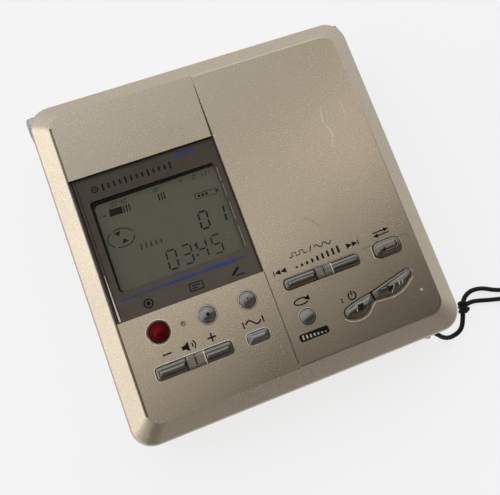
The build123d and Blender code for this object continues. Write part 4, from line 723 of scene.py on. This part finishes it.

# raised middles of the two rockers: champagne blocks, a dark gap, a dark strip on the left edge and a
# painted highlight strip on the right edge
rockerMiddles = {
    "volume_rocker": {"y": -26.2, "depth": 2.9, "top": 20.5, "blocks": (-22.6, -20.55), "gap": -21.62,
                      "dark": -23.62, "bright": -19.5, "halves": ((-29.8, -23.8), (-19.35, -13.8)),
                      "flat": 1.5, "crown": 0.34},
    "level_rocker": {"y": -17.8, "depth": 2.5, "top": 20.8, "blocks": (10.75, 12.75), "gap": 11.68,
                     "dark": 9.72, "bright": 13.72, "halves": ((3.0, 9.55), (13.85, 20.0)),
                     "flat": 1.1, "crown": 0.30},
}
for body, look in rockerMiddles.items():
    title = body.split("_")[0]
    height = 1.6
    middle = look["top"] - height / 2
    shape = bmesh.new()
    for x in look["blocks"]:
        addBlock(shape, (x, look["y"], middle + 0.03), (1.72, look["depth"] + 0.06, height), 0.62)
    newPiece(title + "Blocks", shape, inks["rockerPaint"], body)
    shape = bmesh.new()
    addBlock(shape, (look["dark"], look["y"], middle + 0.01), (0.3, look["depth"] + 0.03, height), 0.62)
    addBlock(shape, (look["gap"], look["y"], middle + 0.01), (0.34, look["depth"] + 0.03, height), 0.62)
    newPiece(title + "Gaps", shape, inks["darkInkAndShade"], body)
    # painted highlight strip along the blocks' right edge
    shape = bmesh.new()
    addBlock(shape, (look["bright"], look["y"], middle + 0.02), (0.24, look["depth"] + 0.05, height), 0.62)
    newPiece(title + "Bright", shape, inks["paintedHighlight"], body)
    shape = bmesh.new()
    for left, right in look["halves"]:
        outline = slotPoints(((left + right) / 2, look["y"]), (right - left, look["flat"]), 0.35, 4)
        addDome(shape, outline, look["top"] - 0.105, look["crown"])
    newPiece(title + "Crowns", shape, inks["darkKey"], body)
print("key marks and rocker middles made")

# painted highlights on the edges of the openings, as thin pale rims
def addRim(curve, points, height, closed=True):
    line = curve.splines.new("POLY")
    line.points.add(len(points) - 1)
    for target, (x, y) in zip(line.points, points):
        target.co = (x * mm, y * mm, height * mm, 1)
    line.use_cyclic_u = closed


rimLook = {"radius": 0.1, "gap": 0.2}
rimCurve = bpy.data.curves.new("keyRimHighlights", "CURVE")
rimCurve.dimensions = "3D"
rimCurve.bevel_depth = rimLook["radius"] * mm
rimCurve.bevel_resolution = 2
for x, y, radius, height in (
        (-16.0, -17.8, 1.85, leftTop), (-6.6, -17.8, 1.85, leftTop), (4.7, -26.0, 1.85, lidTop),
        (-27.1, -17.8, 2.62, leftTop)):
    reach = radius + rimLook["gap"]
    addRim(rimCurve, arcPoints((x, y), (reach, reach), 0, 350, 0, 35), height)
for x, y, width, depth, height in (
        (-7.1, -26.2, 5.0, 2.5, leftTop), (-21.8, -26.2, 17.4, 2.9, leftTop),
        (27.9, -17.7, 6.9, 3.8, bandTop)):
    grow = 2 * rimLook["gap"]
    addRim(rimCurve, slotPoints((x, y), (width + grow, depth + grow), 0.95), height)
# the trough round the stop and play keys, on the side that faces the light
troughRim = {"reach": 0.98, "facing": (0.62, -0.78), "least": -0.25}
for body in ("stop_button", "play_button"):
    outline = [Vector(point) for point in keyOutlines[body]]
    middle = sum(outline, Vector((0, 0))) / len(outline)
    other = keyOutlines["play_button" if body == "stop_button" else "stop_button"]
    run = []
    for index, point in enumerate(outline):
        along = (outline[(index + 1) % len(outline)] - outline[index - 1]).normalized()
        side = Vector((along.y, -along.x))
        if side.dot(point - middle) < 0:
            side.negate()
        moved = point + side * troughRim["reach"]
        clear = min((moved - Vector(place)).length for place in other) > troughRim["reach"]
        if side.dot(Vector(troughRim["facing"])) > troughRim["least"] and clear:
            run.append(moved)
    run.sort(key=lambda place: place.x)
    addRim(rimCurve, [tuple(place) for place in run], lidTop, closed=False)
# painted highlight on the edge of the groove along the left side
grooveRim = {"x": -35.42, "front": -33.4, "rear": 33.6}
grooveEnds = [(grooveRim["x"], grooveRim["front"]), (grooveRim["x"], grooveRim["rear"])]
addRim(rimCurve, grooveEnds, leftTop - 0.03, closed=False)
keyRimHighlights = bpy.data.objects.new("keyRimHighlights", rimCurve)
bpy.context.scene.collection.objects.link(keyRimHighlights)
keyRimHighlights.data.materials.append(inks["paintedHighlight"])
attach(keyRimHighlights, "lid")

# painted shade and highlight along the bezel's sides: dark lines for its shaded edges and bright ones for
# highlight, the one on the left widening to the front
bezelLines = {"front": -12.7, "rear": 20.1, "height": 0.05}
shape = bmesh.new()
for x, width in ((-34.62, 0.3), (-33.9, 0.13), (-1.2, 0.16)):
    ends = (x, bezelLines["front"]), (x, bezelLines["rear"])
    addStroke(shape, *ends, width, bezelTop, bezelLines["height"])
bezelEdgeShade = newPiece("bezelEdgeShade", shape, inks["darkInkAndShade"], "lid")
shape = bmesh.new()
addPatch(
    shape, [(-34.42, bezelLines["front"]), (-34.02, bezelLines["front"]), (-34.2, -2.0), (-34.28, -2.0)],
    bezelTop, bezelLines["height"])
addStroke(shape, (-0.72, -10.5), (-0.72, 18.5), 0.14, bezelTop, bezelLines["height"])
bezelBright = newPiece("bezelBright", shape, inks["paintedHighlight"], "lid")
# broken pale line along the window's right edge: painted reflection of the lens edge
shape = bmesh.new()
for start, end in ((-6.4, -1.2), (0.4, 4.6), (6.0, 9.2), (9.9, 13.2)):
    addStroke(shape, (-2.6, start), (-2.6, end), 0.06, bezelTop, 0.02)
windowEdgeReflection = newPiece("windowEdgeReflection", shape, inks["paleInkAndHighlight"], "lid")

# painted shade in the step between the lid's halves and on the panel's edge over the bezel
shape = bmesh.new()
addStroke(shape, (-0.88, -34.9), (-0.88, -13.2), 0.15, leftTop, 0.01)
addPatch(shape, [(-0.94, 33.6), (-0.84, 33.6), (-0.82, 20.55), (-1.3, 20.55)], leftTop, 0.01)  # widens
addStroke(shape, (-34.9, 19.98), (-1.1, 19.98), 0.42, bezelTop, 0.02)  # the panel's edge over the bezel
stepShadow = newPiece("stepShadow", shape, inks["paintedShadeAndScratch"], "lid")
shape = bmesh.new()
addDot(shape, (-0.62, 20.35), 0.17, lidTop, 0.012, 10)  # painted highlight at the corner
cornerHighlight = newPiece("cornerHighlight", shape, inks["paintedHighlight"], "lid")

# scratches and flecks on the lid's paint
wear = {
    "scratches": (
        ((25.9, 19.1), (25.2, 17.4), 0.16), ((25.2, 17.4), (24.75, 15.3), 0.20),
        ((24.75, 15.3), (25.3, 13.9), 0.12), ((25.3, 13.9), (25.85, 12.5), 0.17),
        ((25.85, 12.5), (25.75, 11.0), 0.24), ((25.75, 11.0), (24.6, 8.8), 0.16),
        ((26.7, 17.4), (26.4, 16.6), 0.09), ((30.7, 18.4), (30.75, 15.7), 0.13),
        ((30.75, 15.7), (30.1, 13.7), 0.10), ((-11.2, 28.9), (-9.8, 28.4), 0.07)),
    "darkScratches": (((11.9, -4.6), (13.6, -6.2), 0.05), ((13.6, -6.2), (15.0, -8.0), 0.06)),
    "nicks": ((23.2, 20.4, 0.14), (30.7, 18.3, 0.16), (25.8, 12.6, 0.18)),
    "flecks": 26, "seed": 7,
}
random.seed(wear["seed"])
shape = bmesh.new()
for start, end, width in wear["scratches"]:
    height = lidTop if start[0] > -0.8 else leftTop
    addStroke(shape, start, end, width, height, 0.01)
for x, y, radius in wear["nicks"]:
    addDot(shape, (x, y), radius, lidTop, 0.012, 9)
for fleck in range(wear["flecks"]):
    x = random.uniform(0.5, 33)
    y = random.uniform(-31, 33)
    if not (-32 < y < -12):
        addDot(shape, (x, y), random.uniform(0.04, 0.10), lidTop, 0.01, 7)
wornMarks = newPiece("wornMarks", shape, inks["wornPaint"], "lid")
shape = bmesh.new()
for start, end, width in wear["darkScratches"]:
    addStroke(shape, start, end, width, lidTop, 0.01)
# dark ring round the lamp pipe, painted shade of its hole, and a dark dot on the pipe's top
lampRing = arcPoints((-21.6, -17.8), (0.44, 0.44), 0, 360, 0, 20)
addLine(shape, lampRing, 0.26, leftTop, 0.015)
addDot(shape, (-21.65, -17.75), 0.24, leftTop + 0.05, 0.01, 12)
darkScratchesAndShade = newPiece("darkScratchesAndShade", shape, inks["paintedShadeAndScratch"], "lid")
print("rims, bezel lines and wear made")

# strap cord: the same route as the solid's, as one smooth line
cordRoute = [
    (32.8, -39.7, 6.3), (35.0, -40.3, 6.1), (37.2, -42.3, 4.9), (39.6, -44.4, 2.7),
    (42.6, -45.3, 0.6), (45.9, -44.5, 0.6), (47.7, -41.5, 0.6), (48.4, -38.9, 0.9),
    (50.0, -36.8, 0.8), (52.6, -35.8, 0.6), (55.8, -36.3, 0.6), (58.6, -37.9, 0.6),
    (61.3, -38.9, 0.6), (64.4, -37.7, 0.6), (66.9, -39.6, 0.6), (66.0, -42.6, 0.6),
    (62.9, -42.6, 0.6), (60.2, -40.9, 0.6), (56.9, -40.1, 0.6), (53.5, -39.05, 0.6),
    (50.9, -38.5, 0.8), (49.0, -38.9, 0.9),
]
cordLook = {"diameter": 1.2, "length": 63.1}
cordCurve = bpy.data.curves.new("strapCord", "CURVE")
cordCurve.dimensions = "3D"
line = cordCurve.splines.new("NURBS")
line.points.add(len(cordRoute) - 1)
for point, (x, y, z) in zip(line.points, cordRoute):
    point.co = (x * mm, y * mm, z * mm, 1)
line.order_u = 3
line.use_endpoint_u = True
line.resolution_u = 12
cordCurve.bevel_depth = cordLook["diameter"] / 2 * mm
cordCurve.bevel_resolution = 5
cordCurve.use_fill_caps = True
strapCord = bpy.data.objects.new("strapCord", cordCurve)
bpy.context.scene.collection.objects.link(strapCord)
strapCord.data.materials.append(finishes["cord_black"])

# knot: three turns of cord drawn tight, and the cut end
knotLook = {
    "centre": (48.35, -39.1, 1.25), "along": (0.3, 1.0, 0.0), "turnRadius": 0.72, "cordRadius": 0.56,
    "steps": (-1.0, 0.0, 1.0), "lean": (14, -10, 16), "stub": (1.0, -0.65, 0.0), "stubLength": 2.5,
}
shape = bmesh.new()
heading = Vector(knotLook["along"]).to_track_quat("Z", "Y").to_matrix().to_4x4()
for step, lean in zip(knotLook["steps"], knotLook["lean"]):
    ring = bmesh.new()
    circle = bmesh.ops.create_circle(ring, segments=14, radius=knotLook["cordRadius"] * mm)
    upright = Matrix.Rotation(math.pi / 2, 3, "X")
    bmesh.ops.rotate(ring, verts=circle["verts"], cent=(0, 0, 0), matrix=upright)
    bmesh.ops.translate(ring, verts=circle["verts"], vec=(knotLook["turnRadius"] * mm, 0, 0))
    bmesh.ops.spin(
        ring, geom=ring.verts[:] + ring.edges[:], cent=(0, 0, 0), axis=(0, 0, 1), angle=2 * math.pi,
        steps=28, use_merge=True)
    bmesh.ops.remove_doubles(ring, verts=ring.verts, dist=1e-7)
    bmesh.ops.recalc_face_normals(ring, faces=ring.faces)
    placed = (
        Matrix.Translation(Vector(knotLook["centre"]) * mm) @ heading
        @ Matrix.Translation((0, 0, step * mm)) @ Matrix.Rotation(math.radians(lean), 4, "X"))
    bmesh.ops.transform(ring, matrix=placed, verts=ring.verts)
    ringMesh = bpy.data.meshes.new("turn")
    ring.to_mesh(ringMesh)
    ring.free()
    shape.from_mesh(ringMesh)
    bpy.data.meshes.remove(ringMesh)
stubMatrix = (
    Matrix.Translation((Vector(knotLook["centre"]) + Vector((0.9, -0.6, -0.35))) * mm)
    @ Vector(knotLook["stub"]).to_track_quat("Z", "Y").to_matrix().to_4x4())
stub = bmesh.ops.create_cone(
    shape, cap_ends=True, segments=16, radius1=0.58 * mm, radius2=0.52 * mm,
    depth=1.6 * mm, matrix=stubMatrix)
strapKnot = newPiece("strapKnot", shape, finishes["cord_black"], "case")
for face in strapKnot.data.polygons:
    face.use_smooth = True
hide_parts("strap_knot")
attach(strapCord, "case")
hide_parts("strap_cord")
print("strap cord and knot made")

# floor, lamps and surroundings
floorLook = {"colour": (0.9, 0.9, 0.9), "glowShare": 0.75}
floorMesh = bpy.data.meshes.new("floor")
shape = bmesh.new()
bmesh.ops.create_grid(shape, x_segments=1, y_segments=1, size=1.5)
shape.to_mesh(floorMesh)
shape.free()
floor = bpy.data.objects.new("floor", floorMesh)
bpy.context.scene.collection.objects.link(floor)
floorPaint = bpy.data.materials.new("floorPaint")
floorPaint.use_nodes = True
tree = floorPaint.node_tree
tree.nodes["Principled BSDF"].inputs["Base Color"].default_value = (*floorLook["colour"], 1)
tree.nodes["Principled BSDF"].inputs["Roughness"].default_value = 0.9
rays = tree.nodes.new("ShaderNodeLightPath")
glow = tree.nodes.new("ShaderNodeEmission")
glow.inputs["Strength"].default_value = 1.0
mixed = tree.nodes.new("ShaderNodeMixShader")
rayKinds = tree.nodes.new("ShaderNodeMath")
rayKinds.operation = "ADD"
tree.links.new(rays.outputs["Is Camera Ray"], rayKinds.inputs[0])
tree.links.new(rays.outputs["Is Glossy Ray"], rayKinds.inputs[1])
anySeen = tree.nodes.new("ShaderNodeMath")
anySeen.operation = "ADD"
anySeen.use_clamp = True
tree.links.new(rayKinds.outputs["Value"], anySeen.inputs[0])
tree.links.new(rays.outputs["Is Transmission Ray"], anySeen.inputs[1])
seen = tree.nodes.new("ShaderNodeMath")
seen.operation = "MULTIPLY"
seen.inputs[1].default_value = floorLook["glowShare"]
tree.links.new(anySeen.outputs["Value"], seen.inputs[0])
tree.links.new(seen.outputs["Value"], mixed.inputs[0])
tree.links.new(tree.nodes["Principled BSDF"].outputs[0], mixed.inputs[1])
tree.links.new(glow.outputs[0], mixed.inputs[2])
# clear from below, so that the underside can be looked at
sides = tree.nodes.new("ShaderNodeNewGeometry")
clear = tree.nodes.new("ShaderNodeBsdfTransparent")
oneSided = tree.nodes.new("ShaderNodeMixShader")
tree.links.new(sides.outputs["Backfacing"], oneSided.inputs[0])
tree.links.new(mixed.outputs[0], oneSided.inputs[1])
tree.links.new(clear.outputs[0], oneSided.inputs[2])
tree.links.new(oneSided.outputs[0], tree.nodes["Material Output"].inputs["Surface"])
floor.data.materials.append(floorPaint)

# surroundings: an even run of grey low down, and overhead bright at the rear and dim to the front
surroundLook = {
    "towards": (-0.34, 0.94, 0.0), "level": 1.9, "lowTop": (0.10, 0.20),
    "lowFront": (0.20, 0.20, 0.20), "lowRear": (0.60, 0.60, 0.60),
    "steps": (
        (-1.0, (0.185, 0.180, 0.172)), (-0.64, (0.100, 0.095, 0.088)), (-0.38, (0.036, 0.033, 0.028)),
        (-0.11, (0.040, 0.036, 0.030)),
        (0.01, (0.60, 0.58, 0.55)), (0.12, (0.62, 0.60, 0.57)), (0.28, (0.28, 0.27, 0.26)),
        (0.52, (0.64, 0.69, 0.72)), (0.9, (0.68, 0.73, 0.77))),
}
world = bpy.data.worlds.new("surround")
bpy.context.scene.world = world
world.use_nodes = True
tree = world.node_tree
background = tree.nodes["Background"]
coords = tree.nodes.new("ShaderNodeTexCoord")
facing = tree.nodes.new("ShaderNodeVectorMath")
facing.operation = "DOT_PRODUCT"
facing.inputs[1].default_value = Vector(surroundLook["towards"]).normalized()
tree.links.new(coords.outputs["Generated"], facing.inputs[0])
shift = tree.nodes.new("ShaderNodeMapRange")
shift.inputs["From Min"].default_value = -1
tree.links.new(facing.outputs["Value"], shift.inputs["Value"])
ramp = tree.nodes.new("ShaderNodeValToRGB")
steps = surroundLook["steps"]
while len(ramp.color_ramp.elements) < len(steps):
    ramp.color_ramp.elements.new(0.5)
for element, (place, colour) in zip(ramp.color_ramp.elements, steps):
    element.position = (place + 1) / 2
    element.color = (*colour, 1)
tree.links.new(shift.outputs["Result"], ramp.inputs["Fac"])
upright = tree.nodes.new("ShaderNodeSeparateXYZ")
tree.links.new(coords.outputs["Generated"], upright.inputs["Vector"])
lowShare = tree.nodes.new("ShaderNodeMapRange")
lowShare.interpolation_type = "SMOOTHSTEP"
lowShare.inputs["From Min"].default_value = surroundLook["lowTop"][0]
lowShare.inputs["From Max"].default_value = surroundLook["lowTop"][1]
tree.links.new(upright.outputs["Z"], lowShare.inputs["Value"])
joined = tree.nodes.new("ShaderNodeMix")
joined.data_type = "RGBA"
low = tree.nodes.new("ShaderNodeMix")
low.data_type = "RGBA"
low.inputs[6].default_value = (*surroundLook["lowFront"], 1)
low.inputs[7].default_value = (*surroundLook["lowRear"], 1)
tree.links.new(shift.outputs["Result"], low.inputs[0])
tree.links.new(low.outputs[2], joined.inputs[6])
tree.links.new(lowShare.outputs["Result"], joined.inputs[0])
tree.links.new(ramp.outputs["Color"], joined.inputs[7])
tree.links.new(joined.outputs[2], background.inputs["Color"])
background.inputs["Strength"].default_value = surroundLook["level"]

lamps = {
    "windowLamp": {"place": (-0.68, -0.06, 0.11), "size": (1.35, 0.23), "power": 1.3},
    "fillLamp": {"place": (0.62, 0.10, 0.30), "size": (0.3, 0.3), "power": 0.1},
}
for name, look in lamps.items():
    lampData = bpy.data.lights.new(name, "AREA")
    lampData.shape = "RECTANGLE"
    lampData.size = look["size"][0]
    lampData.size_y = look["size"][1]
    lampData.energy = look["power"]
    lamp = bpy.data.objects.new(name, lampData)
    lamp.location = look["place"]
    lamp.rotation_euler = (-Vector(look["place"])).to_track_quat("-Z", "Y").to_euler()
    bpy.context.scene.collection.objects.link(lamp)
print("floor and lamps set")
